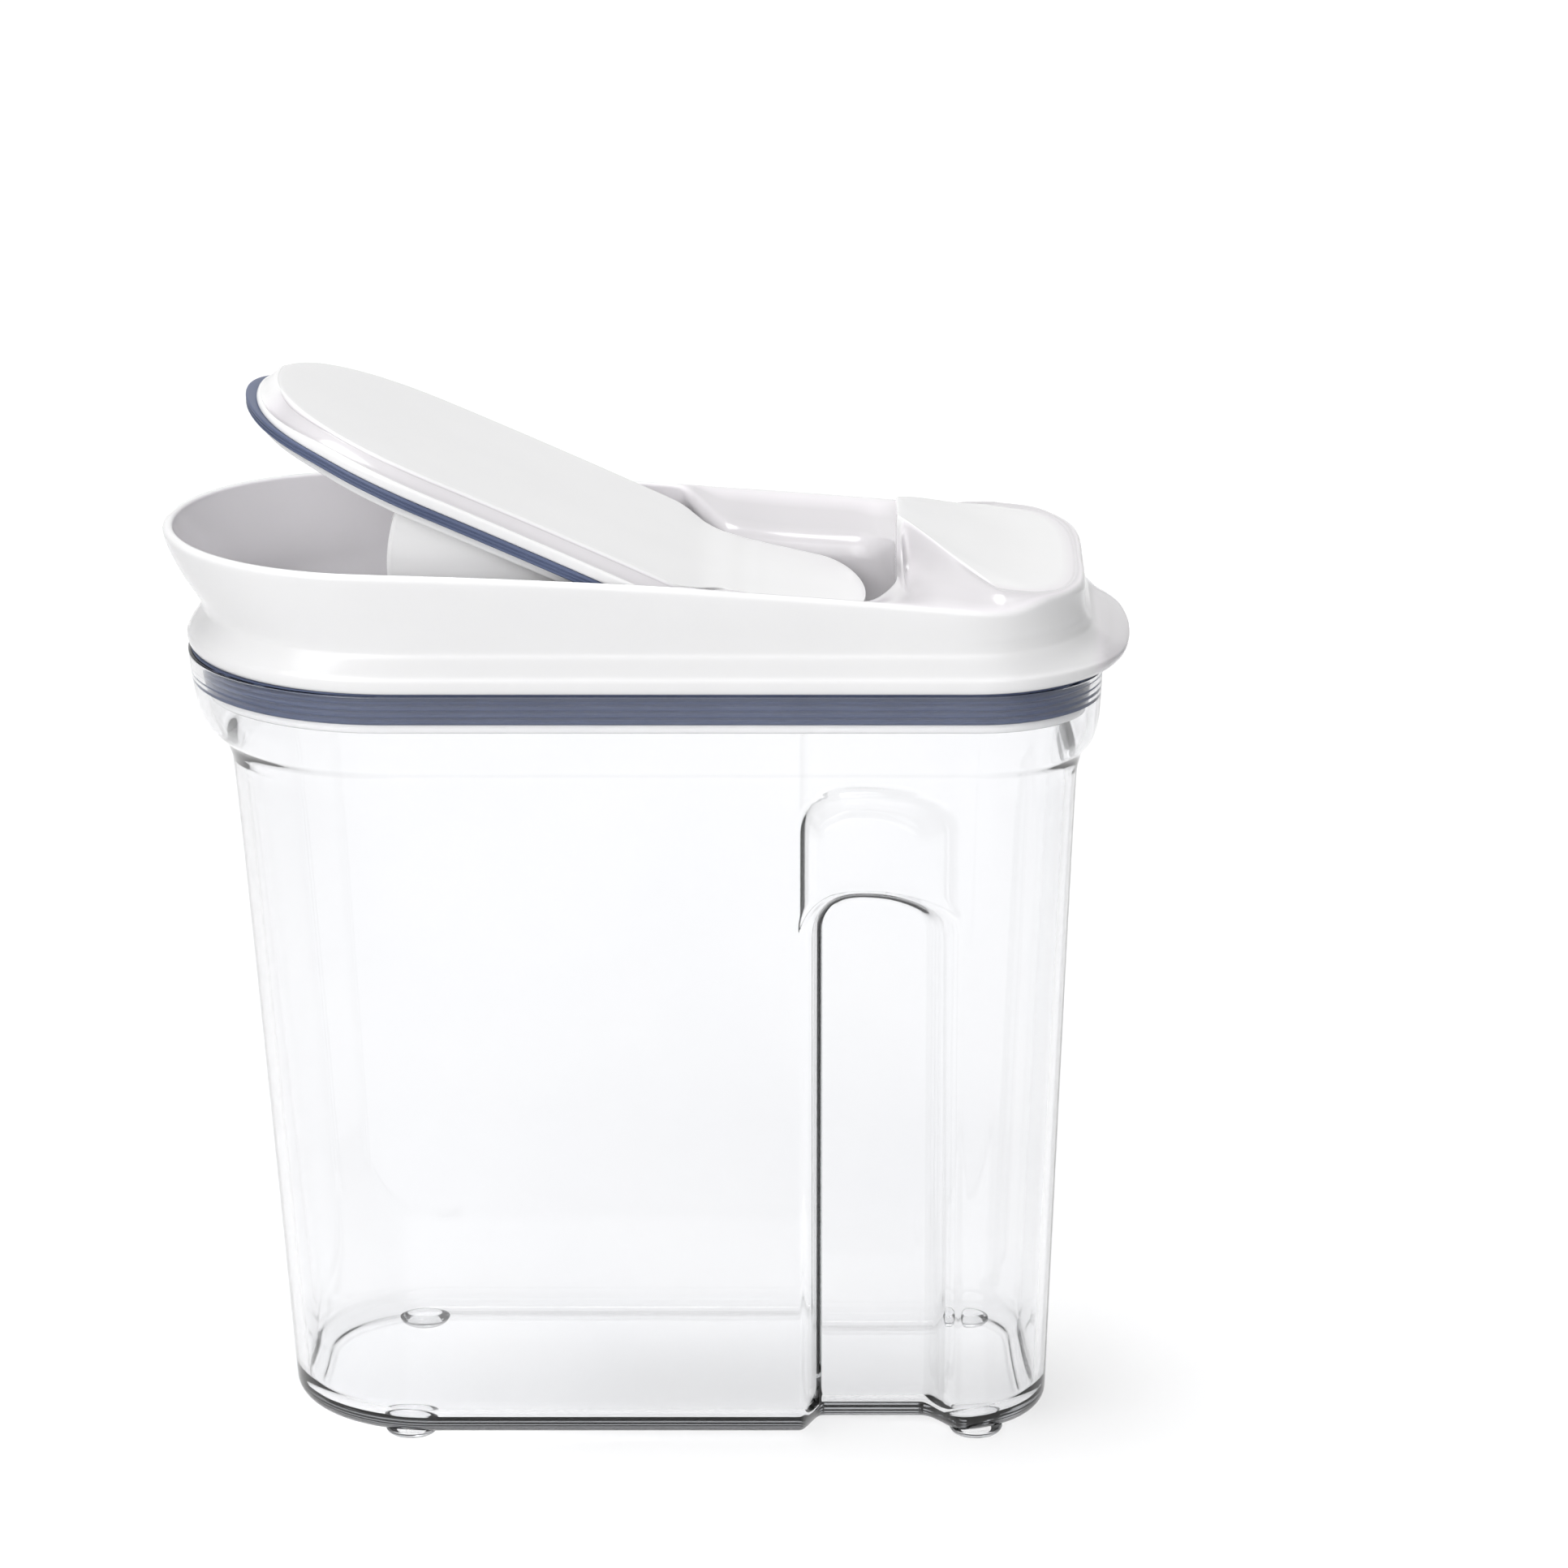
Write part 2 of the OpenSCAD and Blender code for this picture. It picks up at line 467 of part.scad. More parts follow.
// D-shaped outline under the flap's border.
function d_plan(x0, x1, hw, rr) = plan(x0, x1, hw, hw - 0.6, rr, [-60, -45]);
function hung(pts, h) = [for (p = pts) [p[0], p[1], rim(p[0]) - flap_drop(p[0]) - h]];

flap_seal_x1 = -19;
flap_seal_t = 4.6;

module flap_seal() {
    top = 5.9;                      // depth of the seal's top below the side rims
    // Its front leans with the inside of the spout.
    function layer_at(depth, inset) =
        let (x0 = lip_x + 8.9 - 0.45 * (flap_seal_h - depth))
        hung(d_plan(x0 + inset, flap_seal_x1 - inset, mouth_hw - seal_gap - inset, 8 - inset / 2), depth);
    outer = [for (p = [[0, 0.8], [0.6, 0], [1.2, 0], [1.8, 0.7], [2.4, 0], [3, 0]]) layer_at(flap_seal_h - p[0], p[1])];
    rings = concat(outer, [layer_at(top, 0.8), layer_at(top, flap_seal_t), layer_at(flap_seal_h, flap_seal_t)]);
    color(SLATE) placed() opened() ring_stack(rings, loop = true);
}

module flap_liner() {
    tray_x0 = -front_x + 7.5;
    tray_x1 = -26;
    tray_hw = mouth_hw - 3.7;
    step = 2.1;                     // how far the tray's raised middle stands inside its edge
    edge_t = 2.5;                   // thickness of the tray's edge
    roof = 5.9;                     // depth of the tray's top below the side rims
    guide_c = [hinge_x - 28, hinge_z + 13.6];    // centre of the curved front wall, [x, z]
    guide_r = 45.3;
    guide_t = 2;
    guide_n = 12;
    low_x = pour_x - 0.7;
    low_z = hinge_z - hub_r;
    function tray_plan(inset) = d_plan(tray_x0 + inset, tray_x1 - inset / 2, tray_hw - inset, 5);
    function arc(r) = [for (i = [0:guide_n]) let (a = mix(-3, 52.3, i / guide_n))
        [guide_c[0] - r * cos(a), guide_c[1] - r * sin(a)]];
    guide = arc(guide_r);
    tray = [hung(tray_plan(step + 2), roof + 2), hung(tray_plan(step + 2), flap_seal_h + edge_t),
            hung(tray_plan(0.5), flap_seal_h + edge_t), hung(tray_plan(0), flap_seal_h + edge_t - 0.5),
            hung(tray_plan(0), flap_seal_h + 0.1), hung(tray_plan(step), flap_seal_h + 0.1),
            hung(tray_plan(step), roof)];
    web = concat(guide, [[low_x, low_z], [hinge_x, low_z], [hinge_x, hinge_z + hub_r],
        [flap_seal_x1 - 1, rim(flap_seal_x1) - flap_seal_h - 1], [tray_x1 - 4, rim(tray_x1) - flap_seal_h - 1]]);
    color(WHITE) placed() opened() difference() {
        union() {
            ring_stack(tray);
            translate([0, web_y, 0]) rotate([90, 0, 0]) linear_extrude(2 * web_y)
                polygon(concat(guide, [for (i = [guide_n:-1:0]) arc(guide_r - guide_t)[i]]));
            for (side = [-1, 1]) translate([0, side * (web_y - web_t / 2) + web_t / 2, 0]) rotate([90, 0, 0]) {
                linear_extrude(web_t) polygon(web);
                translate([hinge_x, hinge_z, 0]) cylinder(r = hub_r, h = web_t, $fn = 48);
            }
        }
        for (side = [-1, 1]) translate([hinge_x, side * (web_y - web_t / 2), hinge_z])
            rotate([90, 0, 0]) cylinder(r = pin_r + pin_play, h = web_t + 2, center = true, $fn = 48);
    }
}

tub();
feet();
lid_shell();
lid_base();
lid_seal();
hinge_pin_left();
hinge_pin_right();
flap_cover();
flap_seal();
flap_liner();
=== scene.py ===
"""Looks of the cereal container: finished meshes, materials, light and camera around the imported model."""
import math

import bpy
import numpy as np
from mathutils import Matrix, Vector

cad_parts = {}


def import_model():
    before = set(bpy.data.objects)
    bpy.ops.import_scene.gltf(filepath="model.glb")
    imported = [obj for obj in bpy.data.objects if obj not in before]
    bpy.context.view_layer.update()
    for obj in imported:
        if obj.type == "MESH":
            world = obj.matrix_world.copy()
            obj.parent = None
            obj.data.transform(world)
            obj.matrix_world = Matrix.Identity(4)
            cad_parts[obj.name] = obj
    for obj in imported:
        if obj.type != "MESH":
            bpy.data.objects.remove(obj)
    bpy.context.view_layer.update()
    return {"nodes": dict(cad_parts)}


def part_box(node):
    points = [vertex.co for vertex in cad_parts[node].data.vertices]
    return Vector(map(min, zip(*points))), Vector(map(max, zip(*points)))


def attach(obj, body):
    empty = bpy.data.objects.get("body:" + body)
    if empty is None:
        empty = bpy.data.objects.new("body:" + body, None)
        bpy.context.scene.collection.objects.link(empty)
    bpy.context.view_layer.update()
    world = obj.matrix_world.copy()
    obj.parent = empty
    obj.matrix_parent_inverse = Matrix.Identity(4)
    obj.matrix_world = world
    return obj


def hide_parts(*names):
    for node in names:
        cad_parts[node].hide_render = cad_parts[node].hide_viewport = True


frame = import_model()

# ---------- driving sizes, in millimetres; x counts from the middle of the tub's foot ----------

MM = 0.001
LIP_X = -130.8                  # foremost point of the spout's lip
SHIFT_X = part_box("lid_shell")[0].x / MM - LIP_X
SKIRT_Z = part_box("lid_shell")[0].z / MM
RIM_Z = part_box("tub")[1].z / MM
FOOT_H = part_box("feet")[1].z / MM
LIP_Z = SKIRT_Z + 31.8
HALF_W = 53.0
BODY_X0, BODY_X1 = -125.0, 111.5    # front and rear of the lid's skirt
TOP_X1 = 106.0                  # rear of the lid's top edge
WALL_X0, WALL_X1, FOOT_X1 = -118.2, 103.7, 108.5    # inside the skirt: front, rear at the top, rear at its foot
MOUTH_HW = 50.2                 # half width inside the spout
WELL_X1 = 57.8                  # rear end of the finger well
WELL_HW = 29.0
TIP_HW = 9.0                    # half width of the deck's front tip
DECK_HW = 41.0
HINGE = (-5.0, SKIRT_Z + 7.5)
FLAP_OPEN = math.radians(21.8)
TUB_WALL = 3.0
BEND_N = 28                     # steps round a corner of a plan outline


def smooth(t):
    t = np.clip(t, 0.0, 1.0)
    return t * t * (3 - 2 * t)


def mix(a, b, t):
    return a + (b - a) * t


def rim(x):
    """Height of the side rims: a shallow arc, lowest at the rear."""
    return LIP_Z - 0.000227 * (x - LIP_X) ** 2


def spline(xs, ys, x):
    """Smooth curve through a few points, without overshoot (a monotone cubic)."""
    xs, ys = np.asarray(xs, float), np.asarray(ys, float)
    h, d = np.diff(xs), np.diff(ys) / np.diff(xs)
    m = np.zeros(len(xs))
    m[0], m[-1] = d[0], d[-1]
    for i in range(1, len(xs) - 1):
        if d[i - 1] * d[i] > 0:
            w1, w2 = 2 * h[i] + h[i - 1], h[i] + 2 * h[i - 1]
            m[i] = (w1 + w2) / (w1 / d[i - 1] + w2 / d[i])
    x = np.clip(x, xs[0], xs[-1])
    k = np.clip(np.searchsorted(xs, x, side="right") - 1, 0, len(h) - 1)
    t = (x - xs[k]) / h[k]
    a, b, c, e = 2 * t**3 - 3 * t**2 + 1, t**3 - 2 * t**2 + t, -2 * t**3 + 3 * t**2, t**3 - t**2
    return a * ys[k] + b * h[k] * m[k] + c * ys[k + 1] + e * h[k] * m[k + 1]


# ---------- mesh helpers ----------

def whole(half):
    """Adds the far half to near-half outlines: rows of points from front tip to rear tip."""
    far = half[..., -2:0:-1, :] * np.array([1.0, -1.0, 1.0])
    return np.concatenate([half, far], axis=-2)


def opened(p):
    """Turns points of the shut flap open about the hinge."""
    c, s = math.cos(FLAP_OPEN), math.sin(FLAP_OPEN)
    x, z = p[..., 0] - HINGE[0], p[..., 2] - HINGE[1]
    return np.stack([HINGE[0] + c * x + s * z, p[..., 1], HINGE[1] - s * x + c * z], axis=-1)


def ring_faces(m, n, loop=False, caps=False):
    """Quads between m rings of n points. loop joins the last ring to the first; caps closes both ends."""
    faces = []
    for r in range(m if loop else m - 1):
        s = (r + 1) % m
        for j in range(n):
            q = (j + 1) % n
            faces.append((r * n + j, r * n + q, s * n + q, s * n + j))
    if caps:
        k = n // 2
        for o, flip in ((0, True), ((m - 1) * n, False)):
            quads = [(o, o + 1, o + n - 1)] + [
                (o + j, o + j + 1, o + n - j - 1, o + n - j) for j in range(1, k - 1)
            ] + [(o + k - 1, o + k, o + k + 1)]
            faces += [f[::-1] if flip else f for f in quads]
    return faces


def ring_part(rings, loop=False, caps=False):
    rings = np.asarray(rings, float)
    m, n, _ = rings.shape
    return rings.reshape(-1, 3), ring_faces(m, n, loop, caps)


def turned(profile, centre, n=48):
    """A part turned about a line along Y: profile is a closed list of (radius, y)."""
    a = np.linspace(0, 2 * math.pi, n, endpoint=False)
    rings = [[(centre[0] + r * math.cos(t), y, centre[1] + r * math.sin(t)) for t in a] for r, y in profile]
    return np.reshape(rings, (-1, 3)), ring_faces(len(profile), n, loop=True)


def slab(outline, z0, z1, edge):
    """A flat part with softened edges: outline is a whole plan, z0 and z1 its faces."""
    outline = np.asarray(outline, float)
    back, front = np.roll(outline, 1, 0), np.roll(outline, -1, 0)
    t = front - back
    inward = np.stack([-t[:, 1], t[:, 0]], -1) / np.maximum(1e-9, np.linalg.norm(t, axis=1))[:, None]
    rings = [np.c_[outline + inward * d, np.full(len(outline), z)]
             for d, z in ((edge, z0), (edge * 0.3, z0), (0, z0 + edge * 0.3), (0, z0 + edge),
                          (0, z1 - edge), (0, z1 - edge * 0.3), (edge * 0.3, z1), (edge, z1))]
    n = len(outline)
    ends = [tuple(range(n))[::-1], tuple(range(len(rings) * n - n, len(rings) * n))]
    return np.concatenate(rings), ring_faces(len(rings), n) + ends


def half_plan(x0, x1, hw, rf, rr, xs):
    """Near half of a plan with round corners, from its front tip to its rear tip."""
    a = np.linspace(0, math.pi / 2, BEND_N + 1)
    front = np.c_[x0 + rf * (1 - np.cos(a)), rf - hw - rf * np.sin(a)]
    rear = np.c_[x1 - rr * (1 - np.cos(a[::-1])), rr - hw - rr * np.sin(a[::-1])]
    side = np.c_[xs, np.full(len(xs), -hw)]
    parts = [[(x0, 0)]] * (rf < hw - 1e-6) + [front, side, rear] + [[(x1, 0)]] * (rr < hw - 1e-6)
    return np.concatenate([np.asarray(p, float) for p in parts])


def at_height(half, z):
    return np.c_[half, np.ones(len(half)) * z]


# ---------- tub ----------

SHOULDER_Z = RIM_Z - 28.5
GRIP = {"x0": 33.0, "x1": 76.0, "top": 152.0, "depth": 11.0, "r": 14.0, "side": 6.0, "ramp": 11.0}
TUB_X = np.concatenate([np.linspace(-60, 30, 16), np.linspace(32, 41, 16), np.linspace(44, 62, 7),
                        np.linspace(64, 71.5, 6)])
# share of the flare from body to collar, by height below the rim
FLARE_Z = [-28.5, -25, -22.4, -20.7, -17.5, -14, -11, -4, 0]
FLARE = [0, 0.12, 0.27, 0.52, 0.77, 0.88, 0.92, 0.99, 1]


def grip(x, z):
    """Depth of the grip recess at a place on the tub's long side."""
    dl, dr = x - GRIP["x0"], (GRIP["x1"] - x) * GRIP["side"] / GRIP["ramp"]
    dt, r = GRIP["top"] - z, GRIP["r"]
    dh = np.minimum(dl, dr)
    corner = (dh < r) & (dt < r)
    d = np.where(corner, r - np.hypot(r - dh, r - dt), np.minimum(dh, dt))
    return GRIP["depth"] * smooth(d / GRIP["side"])


def tub_half(z, inset, extra=0.0, flare=None):
    """Near half of the tub's outline at a height, inset from its outer face.

    flare is its share of the flare to the collar: 0 in the body, 1 at the rim."""
    if flare is None:
        flare = float(spline(FLARE_Z, FLARE, z - RIM_Z))
    t = min(1.0, z / SHOULDER_Z)
    i = inset + extra
    taper = (1 - t) ** 0.7
    x0 = BODY_X0 + 11.2 + 12.4 * (1 - z / SHOULDER_Z) + 2.6 * taper - flare * 8.9
    x1 = BODY_X1 - 7.2 - 5.6 * (1 - t) - 1.4 * taper + flare * 6.2
    hw = HALF_W - 4.3 - 2.6 * (1 - t) + flare * 3.9
    rf, rr = mix(36, 47.5, t) + flare * 3.9, mix(26, 30, t) + flare * 2
    half = half_plan(x0 + i, x1 - i, hw - i, rf - i, rr - i, TUB_X)
    side = np.abs(half[:, 1]) > 20
    half[:, 1] -= np.sign(half[:, 1]) * grip(half[:, 0], z) * side
    return at_height(half, z)


def tub_rings():
    edge, top = 5.2, 0.45
    a = np.linspace(0, math.pi / 2, 13)
    body = list(np.linspace(FOOT_H + 9, 126, 12)) + list(np.arange(129, GRIP["top"] + 2.5, 1.25)) + [162, 170]
    collar = [RIM_Z + dz for dz in np.linspace(-28.5, -top, 26)]
    outer = [tub_half(FOOT_H + edge * (1 - math.cos(t)), 0, edge * (1 - math.sin(t))) for t in a]
    outer += [tub_half(z, 0) for z in body + collar]
    outer += [tub_half(RIM_Z - top * (1 - math.sin(t)), top * (1 - math.cos(t))) for t in a[3::3]]
    inner = [tub_half(RIM_Z - top * (1 - math.cos(t)), TUB_WALL - top * (1 - math.sin(t))) for t in a[:10:3]]
    inner += [tub_half(z, TUB_WALL) for z in (body + collar)[::-1]]
    floor, bend = FOOT_H + 3.2, 6.0
    inner += [tub_half(floor + bend * (1 - math.sin(t)), TUB_WALL, bend * (1 - math.cos(t))) for t in a]
    return whole(np.array(outer + inner))


# ---------- lid shell ----------

ARC_N = 16
SPOUT_X = [-66, -54, -42, -30, -18, -9, -3]
CURVE_X = list(np.linspace(0, 15, 12))
WELL_X = [19, 25, 31, 38]
CORNER_N, CORNER_R = 10, 13.5
WELL_ROUND = 5.5                # radius of the finger well's rim
TONGUE_L, REAR_L = 25.2, 28.2   # from the well: the end of the deck's tongue, the centre of its round rear
TAB_X0 = 107.0                  # where the lift tab begins
# places round the deck's edge, from its tip over the corner at 5 to its rear middle
DECK_C = np.concatenate([np.arange(0, 4.6, 0.5), [4.85, 5, 5.15], np.arange(5.5, 13.1, 0.5)])


def opening_hw(x):
    """Half width of the opening, from the spout to the finger well."""
    return mix(MOUTH_HW, WELL_HW, smooth(np.asarray(x, float) / 15))


def deck_edge(x):
    """Half width of the deck: a tapered tongue, then a round rear."""
    u = np.maximum(0, x - WELL_X1 - REAR_L) / 20.1
    tongue = TIP_HW + (DECK_HW - TIP_HW) * np.maximum(0, x - WELL_X1) / TONGUE_L
    return np.where(x < WELL_X1 + TONGUE_L, tongue, DECK_HW * np.cbrt(np.maximum(0, 1 - u**3)))


def deck_h(x):
    """Height of the deck above the side rims."""
    return 3.5 + 8.6 * (1 - smooth((x - WELL_X1 + 3.8) / 32))


def cove_z(x, y):
    """Height of the top outside the deck: side rims, channels, and the hollow up to the deck's foot."""
    edge = MOUTH_HW + 0.8
    foot = mix(WELL_HW, deck_edge(x) + 4, smooth((x - WELL_X1 + 6) / 6))
    u = np.clip((edge - np.abs(y)) / np.maximum(1, edge - foot), 0, 1)
    foot_h = deck_h(x) - 12.1 * (1 - smooth((x - WELL_X1 + 5.8) / 25))
    depth = 0.8 + 3.8 * smooth((x + 1) / 11) + 1.2 * smooth((x - 14) / 14)
    dip = depth * smooth((x + 8) / 8) * (1 - smooth((x - 44) / 36))
    return rim(x) + foot_h * u**1.5 * smooth((x - WELL_X1 + 8) / 8) - dip * np.sin(u * math.pi / 2)


def lid_half(x0, x1, hw, rr):
    """Near half of the lid's outline at its shared stations."""
    a = np.linspace(0, math.pi / 2, ARC_N + 1)
    front = np.c_[x0 + hw * (1 - np.cos(a)), -hw * np.sin(a)]
    corner = [mix(43, WELL_X1, i / CORNER_N) for i in range(1, CORNER_N + 1)]
    xs = SPOUT_X + CURVE_X + WELL_X + corner + [60, 62.4]
    side = np.c_[xs, np.full(len(xs), -hw)]
    deck = []
    for c in DECK_C:
        t = math.pi / 2 * (11 - c) / 8
        if c < 3:
            deck.append((mix(64.8, x1 - rr, c / 3), -hw))
        elif c < 11:
            deck.append((x1 - rr * (1 - math.cos(t)), rr - hw - rr * math.sin(t)))
        else:
            deck.append((x1, (rr - hw) * (13 - c) / 2))
    return np.concatenate([front, side, deck])


def opening_half(x0):
    """Near half of the opening's outline at the same stations."""
    a = np.linspace(0, math.pi / 2, ARC_N + 1)
    front = np.c_[x0 + MOUTH_HW * (1 - np.cos(a)), -MOUTH_HW * np.sin(a)]
    xs = SPOUT_X + CURVE_X + WELL_X
    b = np.linspace(0, math.pi / 2, CORNER_N + 1)[1:]
    cx, cy = WELL_X1 - CORNER_R, WELL_HW + 0.5 - CORNER_R
    corner = np.c_[cx + CORNER_R * np.sin(b), -cy - CORNER_R * np.cos(b)]
    tip = [(WELL_X1, -TIP_HW - 4.5), (WELL_X1, -TIP_HW - 2)]
    deck = np.c_[np.full(len(DECK_C), WELL_X1), -TIP_HW * (1 - DECK_C / 13)]
    return np.concatenate([front, np.c_[xs, -opening_hw(xs)], corner, tip, deck])


def deck_points():
    """The deck's edge at each place in DECK_C: the straight tongue, a corner, then the round rear."""
    tongue = [(WELL_X1 + d, deck_edge(np.float64(WELL_X1 + d))) for d in (0.6, 6.2, 12.2, 18.2, 22.2, TONGUE_L)]
    turn = [math.radians(t) for t in (80, 67.2, 56, 44.8, 33.6, 22.4, 11.2, 0)]
    rear = [(WELL_X1 + REAR_L + 17.6 * math.cos(t) ** (2 / 3), DECK_HW * math.sin(t) ** (2 / 3)) for t in turn]
    pts = np.array(tongue + rear, float)
    c = np.concatenate([np.arange(6), np.linspace(6, 13, len(rear))])
    front = DECK_C <= 5
    x = np.where(front, np.interp(DECK_C, c, pts[:, 0]), spline(c[5:], pts[5:, 0], DECK_C))
    y = np.where(front, np.interp(DECK_C, c, pts[:, 1]), spline(c[5:], pts[5:, 1], DECK_C))
    return np.c_[x, -y]


def toward(p, q, d):
    v = q - p
    return p + v * (d / max(1e-6, float(np.linalg.norm(v))))


# height above the skirt's edge: inset of the front, of the rear, of the sides, and share of the lift tab
SKIRT = [(0, 2.2, 1.8, 1.2, 0.5), (0, 1.7, 1.3, 0.7, 0.52), (0.35, 1.0, 0.7, 0.2, 0.6),
         (1.1, 0.35, 0.2, 0, 0.72), (2.3, 0, 0, 0, 0.9), (3.2, 0.03, 0.05, 0.03, 0.98),
         (3.75, 0.12, 0.2, 0.12, 1), (4.1, 0.4, 0.55, 0.42, 1), (4.6, 0.6, 0.95, 0.58, 0.96),
         (5.4, 0.95, 1.5, 0.62, 0.83), (6.3, 1.5, 2.1, 0.64, 0.58), (8, 2.7, 3.0, 0.66, 0.3),
         (9.4, 3.6, 3.7, 0.72, 0.17), (9.9, 3.85, 3.95, 0.85, 0.14), (10.3, 4.1, 4.2, 1.1, 0.11),
         (11.2, 4.1, 4.5, 1.15, 0.07), (13, 3.4, 4.9, 1.05, 0.02)]
# share of the height from the neck to the rim: inset of the front, of the rear, of the sides
SPOUT = [(0.1, 2.3, 5.1, 1.0), (0.22, 0.9, 5.35, 0.95), (0.4, -1.2, 5.7, 0.8), (0.6, -3.2, 5.8, 0.65),
         (0.8, -4.8, 5.7, 0.55), (0.95, -5.6, 5.55, 0.5), (1, -5.8, 5.5, 0.5)]


def lid_shell_part():
    """The outer lid as one loop of rings: up the outside, across the top, down the inside and back behind it."""
    neck_z, rear_r, shell = SKIRT_Z + 13, 33.0, 2.2
    top_outer, top_inner = lid_half(LIP_X, TOP_X1, HALF_W - 0.5, rear_r - 1), opening_half(LIP_X + 2.8)
    lower_inner = opening_half(WALL_X0)
    n = len(top_outer)
    hollow0 = ARC_N + 1 + len(SPOUT_X) + 4      # first station with a wall of its own round the opening
    deck0 = n - len(DECK_C)                     # first station beside the deck
    lower_inner[ARC_N + 1:hollow0, 1] = -MOUTH_HW
    wall_in, foot_in = (lid_half(WALL_X0, x1, MOUTH_HW, 30) for x1 in (WALL_X1, FOOT_X1))
    t = np.gradient(top_inner, axis=0)
    t[-1] = (0, 1)
    seat = top_inner + shell * np.c_[t[:, 1], -t[:, 0]] / np.linalg.norm(t, axis=1)[:, None]
    edge = deck_points()
    rings = []

    for dz, front, rear, side, tab in SKIRT:
        q = lid_half(BODY_X0 + front, BODY_X1 - rear, HALF_W - side, rear_r)
        bulge = 6.8 * tab * np.maximum(0, 1 - (q[:, 1] / 48) ** 2) ** 1.3 * (q[:, 0] > 40)
        rings.append(at_height(np.c_[q[:, 0] + bulge, q[:, 1]], SKIRT_Z + dz))
    for s, front, rear, side in SPOUT:
        q = lid_half(BODY_X0 + front, BODY_X1 - rear, HALF_W - side, rear_r - 1)
        rings.append(at_height(q, mix(neck_z, cove_z(q[:, 0], q[:, 1]) - 1.3, s)))

    # across the top, from the rim to the opening
    top = np.zeros((13, n, 3))
    for j in range(n):
        p0, p1 = top_outer[j], top_inner[j]
        length = float(np.linalg.norm(p1 - p0))
        if j < deck0:
            rounding = mix(1.2, WELL_ROUND, smooth((p1[0] + 2) / 10)) * (1 - 0.6 * smooth((p1[0] - 50) / 8))
            r = min(0.4 * length, rounding)
            turn = np.radians([0, 22, 45, 68, 90])
            d = [0.3, 1.0] + [mix(1.0, length - r, i / 7) for i in range(1, 7)]
            d += list(length - r + r * np.sin(turn))
            drop = [0.0] * 8 + list(r * (1 - np.cos(turn)))
            for k, (v, fall) in enumerate(zip(d, drop)):
                p = toward(p0, p1, v)
                top[k, j] = (p[0], p[1], cove_z(p[0], p[1]) - fall)
        else:
            e = edge[j - deck0]
            lip = toward(p0, e, 1.0)
            foot = toward(e, lip, min(4.0, 0.45 * float(np.linalg.norm(lip - e))))
            run = float(np.linalg.norm(p1 - e))
            cove = [toward(p0, e, 0.3), lip, mix(lip, foot, 0.33), mix(lip, foot, 0.67), foot]
            deck = [toward(e, foot, 0.3), toward(e, p1, min(0.7, 0.25 * run)), toward(e, p1, 0.4 * run),
                    toward(e, p1, 0.7 * run), toward(p1, e, min(1.0, 0.2 * run)),
                    toward(p1, e, min(0.35, 0.1 * run)), p1]
            half_up = mix(cove_z(foot[0], foot[1]), rim(e[0]) + deck_h(e[0]), 0.5)
            heights = [cove_z(p[0], p[1]) for p in cove] + [half_up] + [rim(p[0]) + deck_h(p[0]) for p in deck]
            top[:, j, :2] = cove + [mix(foot, e, 0.55)] + deck
            top[:, j, 2] = heights
    top[0, :, 2] -= 0.55
    top[1, :, 2] -= 0.08
    top[6, deck0:, 2] -= 0.45
    top[11, deck0:, 2] -= 0.12
    top[12, deck0:, 2] -= 0.7
    rings += list(top)

    # down the inside of the spout and the well
    low = np.where(np.arange(n) >= hollow0 - 1, SKIRT_Z + 1.7, SKIRT_Z)
    for s in (0.06, 0.2, 0.4, 0.6, 0.8, 0.97, 1):
        a = top[12]
        z = mix(a[:, 2], low, s)
        lean = np.clip((a[:, 2] - z) / (a[:, 2] - neck_z), 0, 1)[:, None]
        rings.append(np.c_[mix(a[:, :2], lower_inner, lean), z])
    bottom, skirt0 = rings[-1], rings[0]

    # behind the well's wall, under the top and down inside the outer wall
    behind = np.zeros((8, n, 3))
    for j in range(n):
        b, w = seat[j], wall_in[j]
        if j < hollow0:
            behind[:, j] = [mix(bottom[j], skirt0[j], (k + 1) / 9) for k in range(8)]
            continue
        if j < deck0:
            path = [mix(b, w, f) for f in (0, 0.3, 0.6, 0.85, 1)]
            z = [cove_z(p[0], p[1]) - shell - 0.3 for p in path]
        else:
            e, foot = edge[j - deck0], top[4, j, :2]
            e2 = toward(e, b, 1.6 if j == deck0 else 2.6)
            f2 = mix(e2, foot, 0.65)
            path = [b, e2, f2, mix(f2, w, 0.5), w]
            z = [rim(b[0]) + deck_h(b[0]) - shell, rim(e2[0]) + deck_h(e2[0]) - shell, top[4, j, 2] - shell,
                 cove_z(path[3][0], path[3][1]) - shell - 0.3, cove_z(w[0], w[1]) - shell - 0.3]
        rows = [(b[0], b[1], bottom[j, 2])] + [(p[0], p[1], h) for p, h in zip(path, z)]
        behind[:, j] = rows + [(w[0], w[1], SKIRT_Z + 8), (foot_in[j][0], foot_in[j][1], SKIRT_Z)]
    rings += list(behind)
    points, faces = ring_part(whole(np.array(rings)), loop=True)
    return points, faces, lid_painted_shade(np.array(rings), hollow0, deck0)


